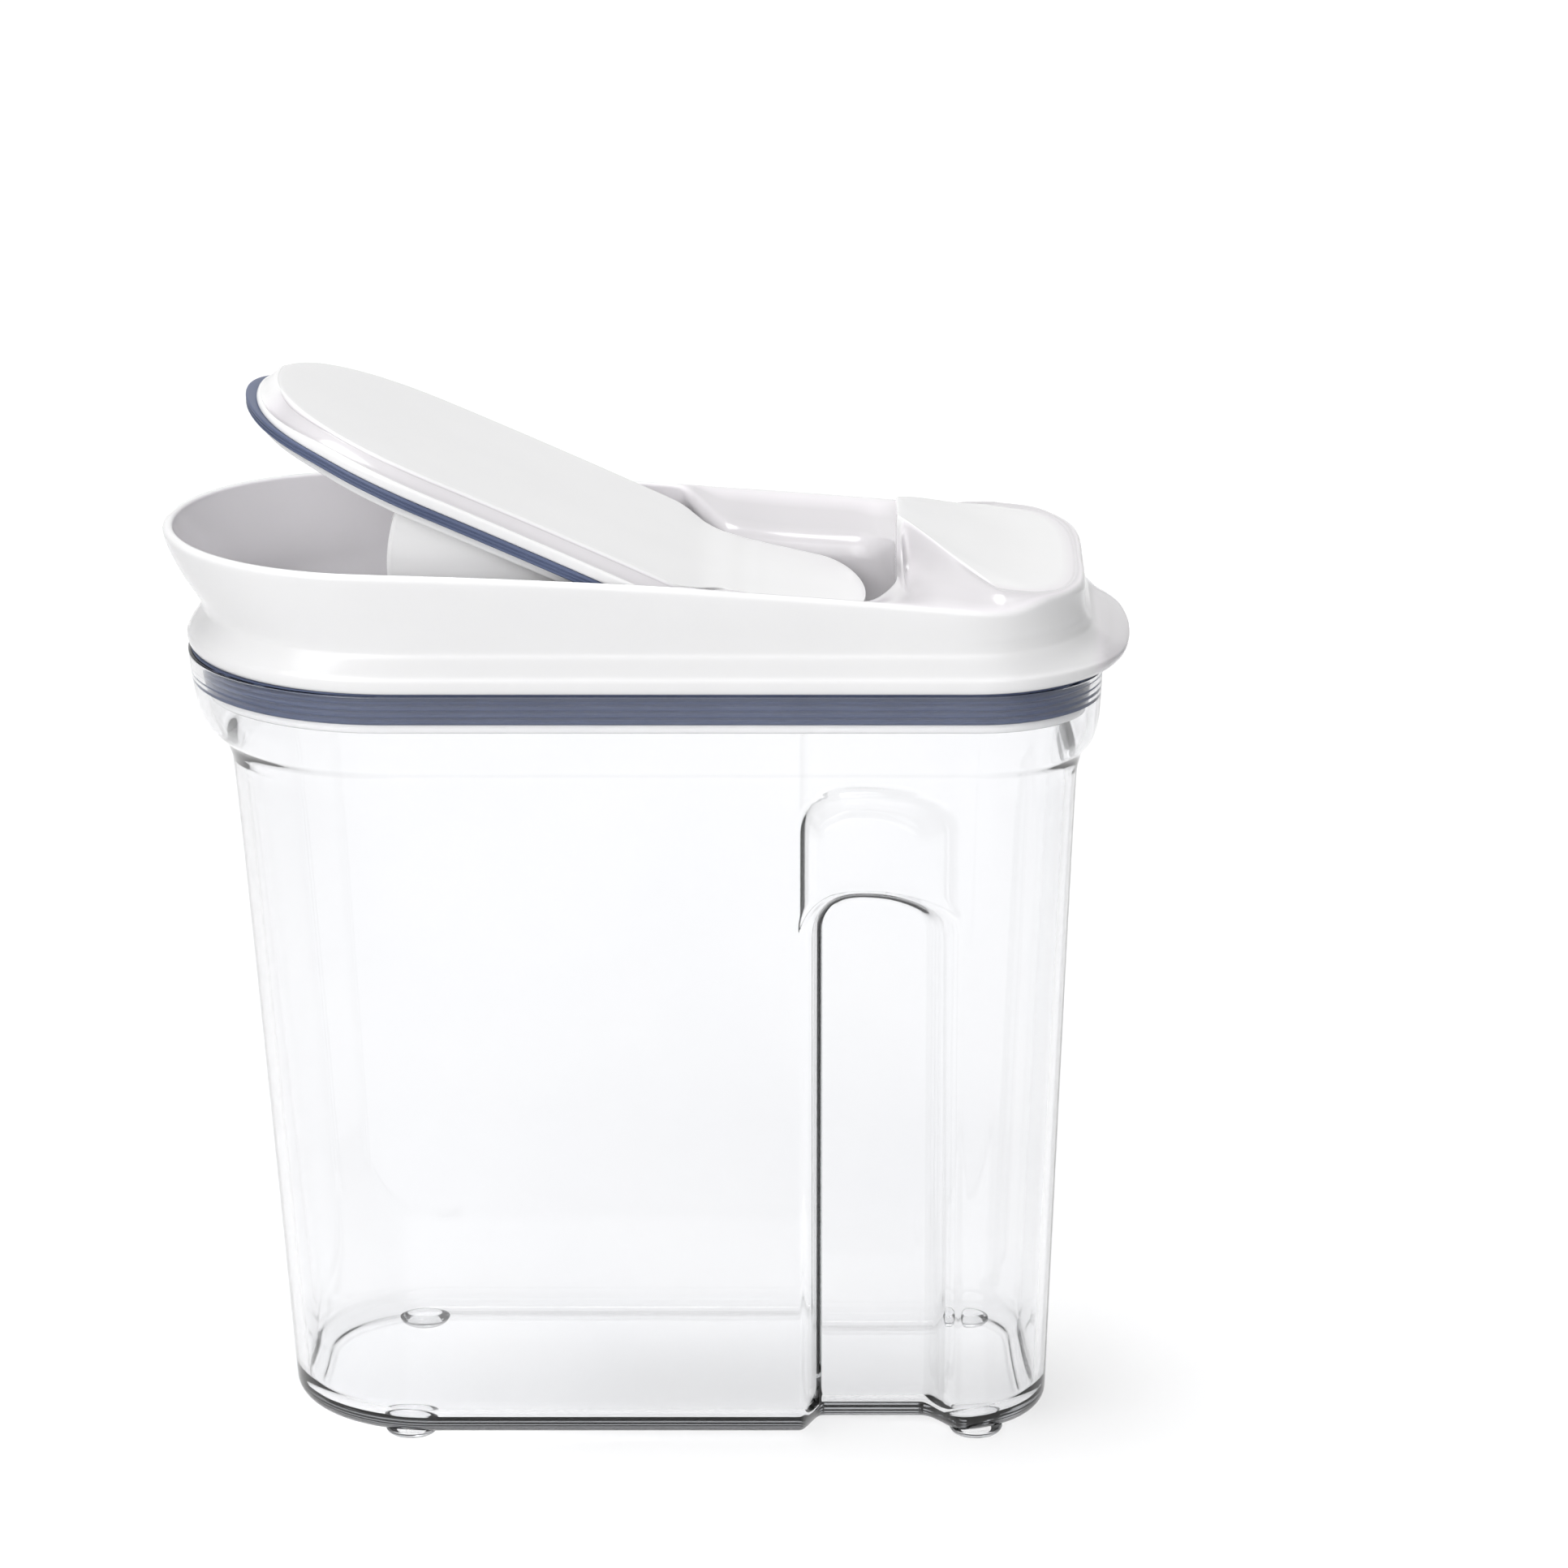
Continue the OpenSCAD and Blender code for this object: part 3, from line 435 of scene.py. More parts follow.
def lid_painted_shade(rings, hollow0, deck0):
    """Depth of painted shade at each point of the lid shell: 0 outside, up to 1 down in the hollows."""
    m, n, _ = rings.shape
    first, place = len(SKIRT) + len(SPOUT), np.arange(n)
    painted_shade = np.zeros((m, n))
    side = np.clip(place - hollow0 + 4, 0, 4) / 4
    # painted shade inside the spout and the well, then in the channels beside the well
    painted_shade[first + 10:first + 20] = np.minimum(1, np.arange(1, 11) / 2)[:, None] * mix(0.6, 1.0, side)
    for k in range(1, 13):
        painted_shade[first + k] = np.maximum(painted_shade[first + k], side * min(1, k / 4))
    # painted shade in the hollow below the deck, on the deck's inner wall, and on the lift tab
    along = smooth((place - deck0 + 6) / 6) * (1 - smooth((place - deck0 - 15) / 8))
    for k, share in enumerate((0.1, 0.5, 0.9, 1.0, 1.0, 1.0, 0.9)):
        painted_shade[first + k] = mix(painted_shade[first + k], share, along)
    painted_shade[first + 7:, deck0:] = np.where(np.arange(m - first - 7)[:, None] < 5, 0, 0.8)
    painted_shade = np.maximum(painted_shade, smooth((rings[:, :, 0] - TAB_X0) / 5))
    return np.concatenate([painted_shade, painted_shade[:, -2:0:-1]], axis=1).reshape(-1)


# ---------- lid base and its seal ----------

PLATE_Z = SKIRT_Z + 1.6
POUR_X = -60.5
PLUG_Z = SKIRT_Z - 11
SEAL_GAP, SEAL_T, SEAL_H, RIBS = 0.4, 2.6, 8.7, 5
PLUG_FLARE = 0.93
PLATE_X0, PLATE_X1 = -118.1, 107.4
# outline of one rib of the gasket: share of its pitch, share of its depth
RIB = [(0.04, 1.0), (0.16, 0.55), (0.27, 0.1), (0.5, 0.0), (0.73, 0.1), (0.84, 0.55), (0.96, 1.0)]


def plug_half(inset, z=PLUG_Z):
    """Outline inside the tub's collar."""
    return tub_half(z, TUB_WALL + inset, flare=PLUG_FLARE)


def band(outer, inner, z0, z1, edge=0.35):
    """A closed band between two outlines, with softened edges."""
    def row(t, z):
        return at_height(mix(outer[:, :2], inner[:, :2], t), z)
    width = np.median(np.linalg.norm(outer[:, :2] - inner[:, :2], axis=1))
    e = min(0.4, edge / width)
    rows = [row(e, z0), row(0, z0 + edge), row(0, z1 - edge), row(e, z1), row(1 - e, z1), row(1, z1 - edge),
            row(1, z0 + edge), row(1 - e, z0)]
    return ring_part(whole(np.array(rows)), loop=True)


def lid_base_parts():
    plug_inset = SEAL_GAP + SEAL_T + 0.1
    wall_in = plug_half(plug_inset + 2.4)
    outline = half_plan(PLATE_X0, PLATE_X1, MOUTH_HW - 0.1, MOUTH_HW - 0.7, 29.9, TUB_X)
    hole = wall_in.copy()
    behind = hole[:, 0] > POUR_X
    k = int(np.argmax(behind))
    y_end = float(np.interp(POUR_X, wall_in[:k + 1, 0], wall_in[:k + 1, 1]))
    hole[k:, 0] = POUR_X
    hole[k:, 1] = y_end * np.linspace(1, 0, len(hole) - k)
    sill = [(-23, -38.8), (-20, -38.8), (-20, 38.8), (-23, 38.8)]
    sill_z = rim(-21.5) - 9.9
    return [band(outline, hole, SKIRT_Z, PLATE_Z),
            band(plug_half(plug_inset), wall_in, PLUG_Z, SKIRT_Z + 0.3),
            band(plug_half(SEAL_GAP + 0.3), plug_half(plug_inset + 0.5), PLUG_Z, PLUG_Z + 3, 0.5),
            slab(sill, PLATE_Z - 0.5, sill_z, 0.4)]


def lid_seal_part():
    pitch, z0 = SEAL_H / RIBS, SKIRT_Z - SEAL_H
    reach, depth = TUB_WALL - 0.45, 0.95
    rows = [tub_half(z0 + pitch * (i + s), reach + depth * d, flare=PLUG_FLARE)
            for i in range(RIBS) for s, d in RIB]
    rows += [tub_half(RIM_Z + 0.08, d, flare=1) for d in (2.8, 1.3, 0.9)]
    rows += [tub_half(SKIRT_Z - 0.05, d, flare=1) for d in (0.9, 1.3, 2.8)]
    rows += [tub_half(z, TUB_WALL + SEAL_GAP + SEAL_T, flare=PLUG_FLARE) for z in (SKIRT_Z - 0.2, z0 + 0.2)]
    return ring_part(whole(np.array(rows)), loop=True)


# ---------- flap, drawn shut ----------

FLAP_CX = -71.0
PAD_X1, PAD_A = WELL_X1 - 13.5, 12.3
CREASE_X = HINGE[0] + 22.7
BORDER_HW, PANEL_HW, NECK_HW, BORDER_STEP = 49.3, 41.0, 27.4, 0.5
MOAT_W, MOAT_RISE = 8.3, 2.7    # from the border's edge to the panel, and the panel's full rise
PANEL_IN = 3.7                  # the same at the nose
WEB_Y, WEB_T, HUB_R, PIN_R = 41.5, 2.0, 5.0, 2.0
FLAP_SEAL_H = 9.5
# the moat round the flap's panel: distance from the border's edge, height above its crest, depth of painted
# shade
MOAT = [(1.25, -0.1, 0), (1.55, -0.75, 0.45), (1.85, -1.4, 0.95), (2.3, -1.75, 1), (3.1, -1.7, 0.95),
        (4, -1.35, 0.9), (4.9, -0.75, 0.85), (5.7, 0, 0.8), (6.4, 0.85, 0.8), (6.9, 1.55, 0.85),
        (7.15, 1.9, 0.95), (7.25, 1.85, 1), (7.35, 0.7, 1), (7.65, 0.7, 1), (7.8, 1.95, 0.8),
        (7.95, 2.15, 0.1)]


def panel_w(x):
    """Half width of the raised panel, which narrows to the neck behind the hinge."""
    return mix(PANEL_HW, NECK_HW, smooth((x - HINGE[0] + 2) / 15))


def border_w(x):
    """Half width of the whole flap."""
    return np.maximum(panel_w(x) + BORDER_STEP, mix(BORDER_HW, NECK_HW, smooth((x - HINGE[0] + 1) / 9)))


def flap_half(a, hw, width, step, inset):
    t = np.linspace(0, math.pi / 2, 25)
    front = np.c_[FLAP_CX - (a - inset) * np.cos(t) ** 0.9, -(hw - inset) * np.sin(t) ** 0.9]
    xs = np.concatenate([np.linspace(-66, -21, 10), np.linspace(-18, 8, 27),
                         [9.5, 12, 14, 16, 17.7, 19.4, 21.5, 24, 28]])
    side = np.c_[xs, inset - width(xs)]
    b = np.linspace(0, math.pi / 2, 13)
    end = np.c_[PAD_X1 - PAD_A + (PAD_A - inset + step) * np.sin(b), -(NECK_HW + step - inset) * np.cos(b)]
    return np.concatenate([front, side, end])


def border_half(inset):
    return flap_half(BORDER_HW, BORDER_HW, border_w, BORDER_STEP, inset)


def panel_half(inset):
    return flap_half(BORDER_HW - PANEL_IN, PANEL_HW, panel_w, 0, inset)


def nose(x):
    """0 along the flap, rising to 1 at its front end, where it is thicker."""
    return smooth((FLAP_CX - 27 - x) / 22)


def flap_top(x):
    return (-1.38 + 1.68 * smooth((x - HINGE[0] - 5) / 13) + 1.1 * smooth((x - CREASE_X + 5.7) / 5.7)
            + 6.1 * np.clip((x - CREASE_X) / (PAD_X1 - CREASE_X), 0, 1))


def flap_under(x):
    return mix(-6.7 - 1.2 * nose(x), flap_top(x) - 5, smooth((x - HINGE[0]) / 15))


def border_top(x):
    return mix(-3.7 - 2.6 * nose(x), flap_top(x) - 0.8, smooth((x - HINGE[0] - 5) / 8))


def raised(half, height):
    return np.c_[half, rim(half[:, 0]) + height(half[:, 0])]


def flap_cover_part():
    border, panel = border_half(0), panel_half(0)

    def slope(along, height):
        """Between border and panel, by distance and height above the border; fades out at nose and neck."""
        t = along / MOAT_W
        q = mix(border, panel, t)
        x = q[:, 0]
        above = mix(smooth(t) * step(x), height * step(x) / MOAT_RISE, hollow_at(q))
        return np.c_[q, rim(x) + border_top(x) + above]

    def hollow_at(q):
        return smooth((np.abs(q[:, 1]) - 10) / 14) * (1 - smooth((q[:, 0] - HINGE[0] - 1) / 8))

    def step(x):
        return flap_top(x) - border_top(x)

    crest = raised(border_half(0.9), border_top)
    rows = [
        raised(panel_half(3.4), lambda x: flap_top(x) - 2.2),
        raised(panel_half(3.0), lambda x: flap_top(x) - 2.3),
        raised(panel_half(2.6), lambda x: flap_top(x) - 2.9),
        raised(panel_half(2.4), lambda x: flap_under(x) + 0.3),
        raised(panel_half(2.0), flap_under),
        raised(border_half(0.8), flap_under),
        raised(border_half(0.25), lambda x: flap_under(x) + 0.05),
        raised(border, lambda x: flap_under(x) + 0.35),
        raised(border, lambda x: mix(flap_under(x), border_top(x), 0.5)),
        raised(border_half(0.02), lambda x: border_top(x) - 0.8),
        raised(border_half(0.15), lambda x: border_top(x) - 0.3),
        raised(border_half(0.45), lambda x: border_top(x) - 0.05),
        crest,
        *(slope(d, h) for d, h, _ in MOAT),
        raised(panel_half(0.05), lambda x: flap_top(x) - 0.12 * np.minimum(1, step(x))),
        raised(panel_half(0.35), lambda x: flap_top(x) - 0.02),
        raised(panel_half(0.9), flap_top),
        raised(panel_half(2.2), flap_top)]
    first = next(i for i, row in enumerate(rows) if row is crest) + 1
    # painted shade down in the moat: each MOAT row's last column sets its depth
    painted_shade = np.zeros((len(rows), len(border)))
    for k, (along, _, shade_tone) in enumerate(MOAT):
        painted_shade[first + k] = shade_tone * hollow_at(mix(border, panel, along / MOAT_W))
    painted_shade = np.concatenate([painted_shade, painted_shade[:, -2:0:-1]], axis=1).reshape(-1)
    points, faces = ring_part(whole(np.array(rows)), caps=True)
    return opened(points), faces, painted_shade


def d_half(x0, x1, hw, rr):
    return half_plan(x0, x1, hw, hw - 0.6, rr, np.linspace(-66, -36, 7))


def hung(half, depth):
    return np.c_[half, rim(half[:, 0]) - 1.2 * nose(half[:, 0]) - depth]


def flap_seal_part():
    top, x1 = 6.6, -19.0

    def at(depth, inset):
        x0 = LIP_X + 8.9 - 0.45 * (FLAP_SEAL_H - depth)
        return hung(d_half(x0 + inset, x1 - inset, MOUTH_HW - SEAL_GAP - inset, 8 - inset / 2), depth)

    # height above the lower face, inset: three fine lips
    lips = [(0, 1.0), (0.1, 0.5), (0.3, 0.1), (0.6, 0.0), (0.85, 0.12), (1.0, 0.5), (1.15, 0.12), (1.4, 0.0),
            (1.65, 0.12), (1.8, 0.5), (1.95, 0.12), (2.2, 0.0), (2.6, 0.1), (2.8, 0.5)]
    rows = [at(FLAP_SEAL_H - h, i) for h, i in lips]
    rows += [at(top + 0.05, 1.0), at(top + 0.05, 4.2), at(top + 0.4, 4.6), at(FLAP_SEAL_H - 0.3, 4.6),
             at(FLAP_SEAL_H, 4.3)]
    points, faces = ring_part(whole(np.array(rows)), loop=True)
    return opened(points), faces


def flap_liner_parts():
    tray_x0, tray_x1, tray_hw = -117.5, -26.0, MOUTH_HW - 3.7
    step, edge_t, roof = 2.1, 2.5, 5.9
    gx, gz, gr, gt = HINGE[0] - 28, HINGE[1] + 13.6, 45.3, 2.0

    def sweep(steps):
        return np.radians(np.linspace(-3, 52.3, steps))

    def tray(inset, depth):
        return hung(d_half(tray_x0 + inset, tray_x1 - inset / 2, tray_hw - inset, 5), depth)

    low = FLAP_SEAL_H + edge_t
    rows = [tray(step + 2, roof + 2), tray(step + 2, low - 0.3), tray(step + 1.6, low), tray(0.9, low),
            tray(0.3, low - 0.12), tray(0.05, low - 0.5), tray(0, low - 1.2), tray(0.05, FLAP_SEAL_H + 0.5),
            tray(0.3, FLAP_SEAL_H + 0.15), tray(0.7, FLAP_SEAL_H + 0.1), tray(step, FLAP_SEAL_H + 0.1),
            tray(step, roof + 0.3), tray(step + 0.3, roof)]
    parts = [ring_part(whole(np.array(rows)), caps=True)]

    # the curved front wall below the tray: a round-edged sheet swept along an arc
    y = np.array([-WEB_Y, -WEB_Y + 0.3, -WEB_Y + 1, *np.linspace(-36, 36, 9), WEB_Y - 1, WEB_Y - 0.3, WEB_Y])
    rings = []
    for a in sweep(40):
        def row(r, ys):
            return [(gx - r * math.cos(a), v, gz - r * math.sin(a)) for v in ys]
        middle = gr - gt / 2
        rings.append(row(middle, y[:1]) + row(gr, y[1:-1]) + row(middle, y[-1:]) + row(gr - gt, y[-2:0:-1]))
    parts.append(ring_part(rings, caps=True))

    # side webs down to the hinge, open around the pins
    arc = [(gx - (gr - 1) * math.cos(a), gz - (gr - 1) * math.sin(a)) for a in sweep(24)]
    low_x, low_z = POUR_X - 0.7, HINGE[1] - HUB_R
    ring = [(HINGE[0] - 3.5 * math.sin(t), HINGE[1] - 3.5 * math.cos(t)) for t in np.linspace(0, math.pi, 13)]
    roof_end = [(-20, rim(-19) - FLAP_SEAL_H - 1), (tray_x1 - 4, rim(tray_x1) - FLAP_SEAL_H - 1)]
    web = arc + [(low_x, low_z), (HINGE[0], low_z)] + ring + [(HINGE[0], HINGE[1] + HUB_R)] + roof_end
    n = len(web)
    for side in (-1, 1):
        ys = sorted((side * WEB_Y, side * (WEB_Y - WEB_T)))
        pts = [(x, ys[0], z) for x, z in web] + [(x, ys[1], z) for x, z in web]
        faces = [tuple(range(n)), tuple(range(2 * n - 1, n - 1, -1))]
        faces += [((i + 1) % n, i, i + n, (i + 1) % n + n) for i in range(n)]
        parts.append((np.array(pts), faces))
        profile = [(PIN_R + 0.05, ys[0]), (HUB_R - 0.3, ys[0]), (HUB_R, ys[0] + 0.3), (HUB_R, ys[1] - 0.3),
                   (HUB_R - 0.3, ys[1]), (PIN_R + 0.05, ys[1])]
        parts.append(turned(profile, HINGE))
    return [(opened(np.asarray(p, float)), f) for p, f in parts]


# ---------- materials ----------

def material(name):
    m = bpy.data.materials.new(name)
    m.use_nodes = True
    nodes, links = m.node_tree.nodes, m.node_tree.links
    return m, nodes, links, nodes["Principled BSDF"]


def noise(nodes, links, coord, scale, detail=3.0, roughness=0.5):
    n = nodes.new("ShaderNodeTexNoise")
    n.inputs["Scale"].default_value = scale
    n.inputs["Detail"].default_value = detail
    n.inputs["Roughness"].default_value = roughness
    links.new(coord.outputs["Object"], n.inputs["Vector"])
    return n


def ramp(nodes, links, source, low, high, stops=(0.3, 0.7)):
    r = nodes.new("ShaderNodeValToRGB")
    for i, (p, c) in enumerate(zip(stops, (low, high))):
        r.color_ramp.elements[i].position = p
        r.color_ramp.elements[i].color = (*c, 1) if len(c) == 3 else c
    links.new(source, r.inputs["Fac"])
    return r


def scaled(nodes, links, source, low, high):
    r = nodes.new("ShaderNodeMapRange")
    r.inputs["From Min"].default_value = 0.3
    r.inputs["From Max"].default_value = 0.7
    r.inputs["To Min"].default_value = low
    r.inputs["To Max"].default_value = high
    links.new(source, r.inputs["Value"])
    return r


def bumped(nodes, links, shader, layers):
    """Chains bump layers of (height output, strength, distance in metres) into the shader's normal."""
    previous = None
    for height, strength, distance in layers:
        b = nodes.new("ShaderNodeBump")
        b.inputs["Strength"].default_value = strength
        b.inputs["Distance"].default_value = distance
        links.new(height, b.inputs["Height"])
        if previous:
            links.new(previous.outputs["Normal"], b.inputs["Normal"])
        previous = b
    links.new(previous.outputs["Normal"], shader.inputs["Normal"])


def white_plastic():
    """Glossy moulded ABS: slow flow marks, a fine moulded grain, and painted shade, darker and cooler, down in
    the recesses.
    """
    m, nodes, links, shader = material("white_plastic_look")
    coord = nodes.new("ShaderNodeTexCoord")
    flow = noise(nodes, links, coord, 14, 2)
    grain = noise(nodes, links, coord, 2600, 2)
    wave = noise(nodes, links, coord, 60, 1)
    tint = ramp(nodes, links, flow.outputs["Fac"], (0.80, 0.799, 0.805), (0.835, 0.834, 0.838))
    # painted shade: the base colour is darkened and cooled by each point's depth of painted shade, stored on the
    # mesh
    painted_shade = nodes.new("ShaderNodeAttribute")
    painted_shade.attribute_name = "painted_shade"
    shade_tone = ramp(nodes, links, painted_shade.outputs["Fac"], (1, 1, 1), (0.76, 0.742, 0.76), (0.0, 1.0))
    shade_tone.color_ramp.elements.new(0.5).color = (0.93, 0.905, 0.93, 1)
    blend = nodes.new("ShaderNodeMix")
    blend.data_type, blend.blend_type = "RGBA", "MULTIPLY"
    blend.inputs["Factor"].default_value = 1.0
    links.new(tint.outputs["Color"], blend.inputs["A"])
    links.new(shade_tone.outputs["Color"], blend.inputs["B"])
    links.new(blend.outputs["Result"], shader.inputs["Base Color"])
    rough = scaled(nodes, links, flow.outputs["Fac"], 0.12, 0.17)
    links.new(rough.outputs["Result"], shader.inputs["Roughness"])
    shader.inputs["IOR"].default_value = 1.5
    shader.inputs["Subsurface Weight"].default_value = 0.08
    shader.inputs["Subsurface Radius"].default_value = (0.004, 0.004, 0.0045)
    shader.inputs["Subsurface Scale"].default_value = 1.0
    bumped(nodes, links, shader, [(wave.outputs["Fac"], 0.05, 0.0006), (grain.outputs["Fac"], 0.04, 0.00003)])
    return m


def seal_rubber():
    """Soft slate elastomer: a satin skin with a fine grain and a little bloom."""
    m, nodes, links, shader = material("seal_rubber")
    coord = nodes.new("ShaderNodeTexCoord")
    bloom = noise(nodes, links, coord, 45, 4)
    grain = noise(nodes, links, coord, 3200, 3)
    tint = ramp(nodes, links, bloom.outputs["Fac"], (0.07, 0.092, 0.17), (0.091, 0.117, 0.206))
    links.new(tint.outputs["Color"], shader.inputs["Base Color"])
    rough = scaled(nodes, links, bloom.outputs["Fac"], 0.42, 0.55)
    links.new(rough.outputs["Result"], shader.inputs["Roughness"])
    shader.inputs["IOR"].default_value = 1.45
    shader.inputs["Sheen Weight"].default_value = 0.15
    shader.inputs["Sheen Roughness"].default_value = 0.4
    bumped(nodes, links, shader, [(grain.outputs["Fac"], 0.2, 0.00004)])
    return m


CLEAR_TINT = (0.5, 0.51, 0.53, 1)
CLEAR_DENSITY = 28.0            # per metre: a long way through the wall's edge looks grey


def clear_plastic():
    """Clear SAN: water-clear, with the slow waviness of a moulded wall and fine handling marks."""
    m, nodes, links, shader = material("clear_plastic_look")
    coord = nodes.new("ShaderNodeTexCoord")
    slow = noise(nodes, links, coord, 18, 2)
    marks = noise(nodes, links, coord, 400, 4, 0.6)
    tint = ramp(nodes, links, slow.outputs["Fac"], (0.975, 0.978, 0.985), (0.99, 0.991, 0.994))
    links.new(tint.outputs["Color"], shader.inputs["Base Color"])
    rough = scaled(nodes, links, marks.outputs["Fac"], 0.0, 0.03)
    links.new(rough.outputs["Result"], shader.inputs["Roughness"])
    shader.inputs["IOR"].default_value = 1.5
    shader.inputs["Transmission Weight"].default_value = 1.0
    bumped(nodes, links, shader, [(slow.outputs["Fac"], 0.06, 0.0006)])
    depth = nodes.new("ShaderNodeVolumeAbsorption")
    depth.inputs["Color"].default_value = CLEAR_TINT
    depth.inputs["Density"].default_value = CLEAR_DENSITY
    links.new(depth.outputs["Volume"], nodes["Material Output"].inputs["Volume"])
    return m


WHITE, RUBBER, CLEAR = white_plastic(), seal_rubber(), clear_plastic()


# ---------- pieces ----------

FOOT_XS, FOOT_Y = (-68, 79), 38
BOSS_Y0, BOSS_Y1 = 42.1, 50.7   # the lid's bosses beside the flap's hubs


def foot_part(x, y):
    """A low dome: rings of (radius, height) from the face it stands on, closed at the top."""
    profile = [(3.3, 0.0), (3.6, 0.03), (4.3, 0.12), (5.0, 0.27), (5.7, 0.56), (6.3, 0.95), (6.7, 1.4),
               (6.9, 2.0), (6.9, 2.3)]
    n = 48
    a = np.linspace(0, 2 * math.pi, n, endpoint=False)
    rings = np.array([[(x + r * math.cos(t), y + r * math.sin(t), z) for t in a] for r, z in profile])
    faces = ring_faces(len(rings), n)
    m = len(rings)
    points = np.concatenate([rings.reshape(-1, 3), [(x, y, profile[-1][1])]])
    faces += [tuple(range(n))[::-1]] + [((m - 1) * n + i, (m - 1) * n + (i + 1) % n, m * n) for i in range(n)]
    return points, faces


LOOKS = {"tub": ("clear_plastic", CLEAR), "feet": ("clear_plastic", CLEAR),
         "lid_seal": ("seal", RUBBER), "flap_seal": ("seal", RUBBER)}


def piece(name, body, node, parts, levels=0, painted_shade=None):
    """One object from several (points, faces) parts, in place of a CAD node.

    levels is how often it is subdivided, and the last argument gives a depth of painted shade for each point."""
    slot, look = LOOKS.get(node, ("white_plastic", WHITE))
    points, faces = [], []
    for p, f in parts:
        faces += [tuple(i + len(points) for i in face) for face in f]
        points += [tuple(q) for q in p]
    points = (np.asarray(points, float) + np.array([SHIFT_X, 0, 0])) * MM
    mesh = bpy.data.meshes.new(name)
    mesh.from_pydata([tuple(p) for p in points], [], faces)
    mesh.validate()
    mesh.polygons.foreach_set("use_smooth", [True] * len(mesh.polygons))
    # each point's depth of painted shade goes on the mesh
    if painted_shade is not None:
        mesh.attributes.new("painted_shade", "FLOAT", "POINT").data.foreach_set("value", painted_shade)
    obj = bpy.data.objects.new(name, mesh)
    bpy.context.scene.collection.objects.link(obj)
    mesh.materials.append(look)
    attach(obj, body)
    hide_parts(node)
    if levels:
        sub = obj.modifiers.new("smooth", "SUBSURF")
        sub.levels = sub.render_levels = levels
    return obj


tub = piece("tub_wall", "container", "tub", [ring_part(tub_rings(), caps=True)], levels=1)
feet = piece("tub_feet", "container", "feet", [foot_part(x, y) for x in FOOT_XS for y in (-FOOT_Y, FOOT_Y)])

bosses = []
for side in (-1, 1):
    near, far = side * BOSS_Y0, side * BOSS_Y1
    bosses.append(turned([(PIN_R, near), (HUB_R, near), (HUB_R, far), (PIN_R, far)][::side], HINGE))
points, faces, painted_shade = lid_shell_part()
piece("lid_shell_body", "lid", "lid_shell", [(points, faces)], 1, painted_shade)
piece("hinge_bosses", "lid", "lid_shell", bosses)
piece("lid_base_plate", "lid", "lid_base", lid_base_parts())
piece("lid_gasket", "lid", "lid_seal", [lid_seal_part()])
points, faces, painted_shade = flap_cover_part()
piece("flap_cover_panel", "flap", "flap_cover", [(points, faces)], 1, painted_shade)
piece("flap_gasket", "flap", "flap_seal", [flap_seal_part()], 1)
liner_parts = flap_liner_parts()
piece("flap_liner_tray", "flap", "flap_liner", liner_parts[:1], 1)
piece("flap_guide_wall", "flap", "flap_liner", liner_parts[1:2], 1)
webs = piece("flap_webs", "flap", "flap_liner", liner_parts[2:])
bevel = webs.modifiers.new("edge", "BEVEL")
bevel.width, bevel.segments, bevel.limit_method = 0.3 * MM, 3, "ANGLE"
bevel.angle_limit = math.radians(35)
bevel.harden_normals = True
for pin in ("hinge_pin_left", "hinge_pin_right"):
    for slot in frame["nodes"][pin].material_slots:
        slot.material = WHITE


# ---------- floor, light and camera, in metres ----------

FLOOR_SIZE = 12.0
FLOOR_GLOW = 0.42               # own light of the floor, as the camera and glossy and clear surfaces see it
WORLD_LIGHT = 0.24              # fill light from all round, and the least that glossy and clear surfaces see
SIDE_DARK = 0.08                # share of its light that a backdrop keeps towards the studio's two sides
CAMERA_PLACE, CAMERA_TILT, CAMERA_LENS = (0.03525, -2.0, 0.771), 16.85, 184.85


def background_factor(nodes, links):
    """1 for rays that should see the plain white background: camera, glossy and transmission rays."""
    path = nodes.new("ShaderNodeLightPath")
    total = path.outputs["Is Camera Ray"]
    for name in ("Is Glossy Ray", "Is Transmission Ray"):
        add = nodes.new("ShaderNodeMath")
        add.operation = "MAXIMUM"
        links.new(total, add.inputs[0])
        links.new(path.outputs[name], add.inputs[1])
        total = add.outputs[0]
    return total


def sideways(nodes, links, x, near, far, middle, side):
    """Falls softly from middle to side as x leaves zero, so that the studio's two sides are darker."""
    away, fall = nodes.new("ShaderNodeMath"), nodes.new("ShaderNodeMapRange")
    away.operation = "ABSOLUTE"
    links.new(x, away.inputs[0])
    fall.interpolation_type = "SMOOTHSTEP"
    for name, value in (("From Min", near), ("From Max", far), ("To Min", middle), ("To Max", side)):
        fall.inputs[name].default_value = value
    links.new(away.outputs[0], fall.inputs["Value"])
    return fall.outputs["Result"]


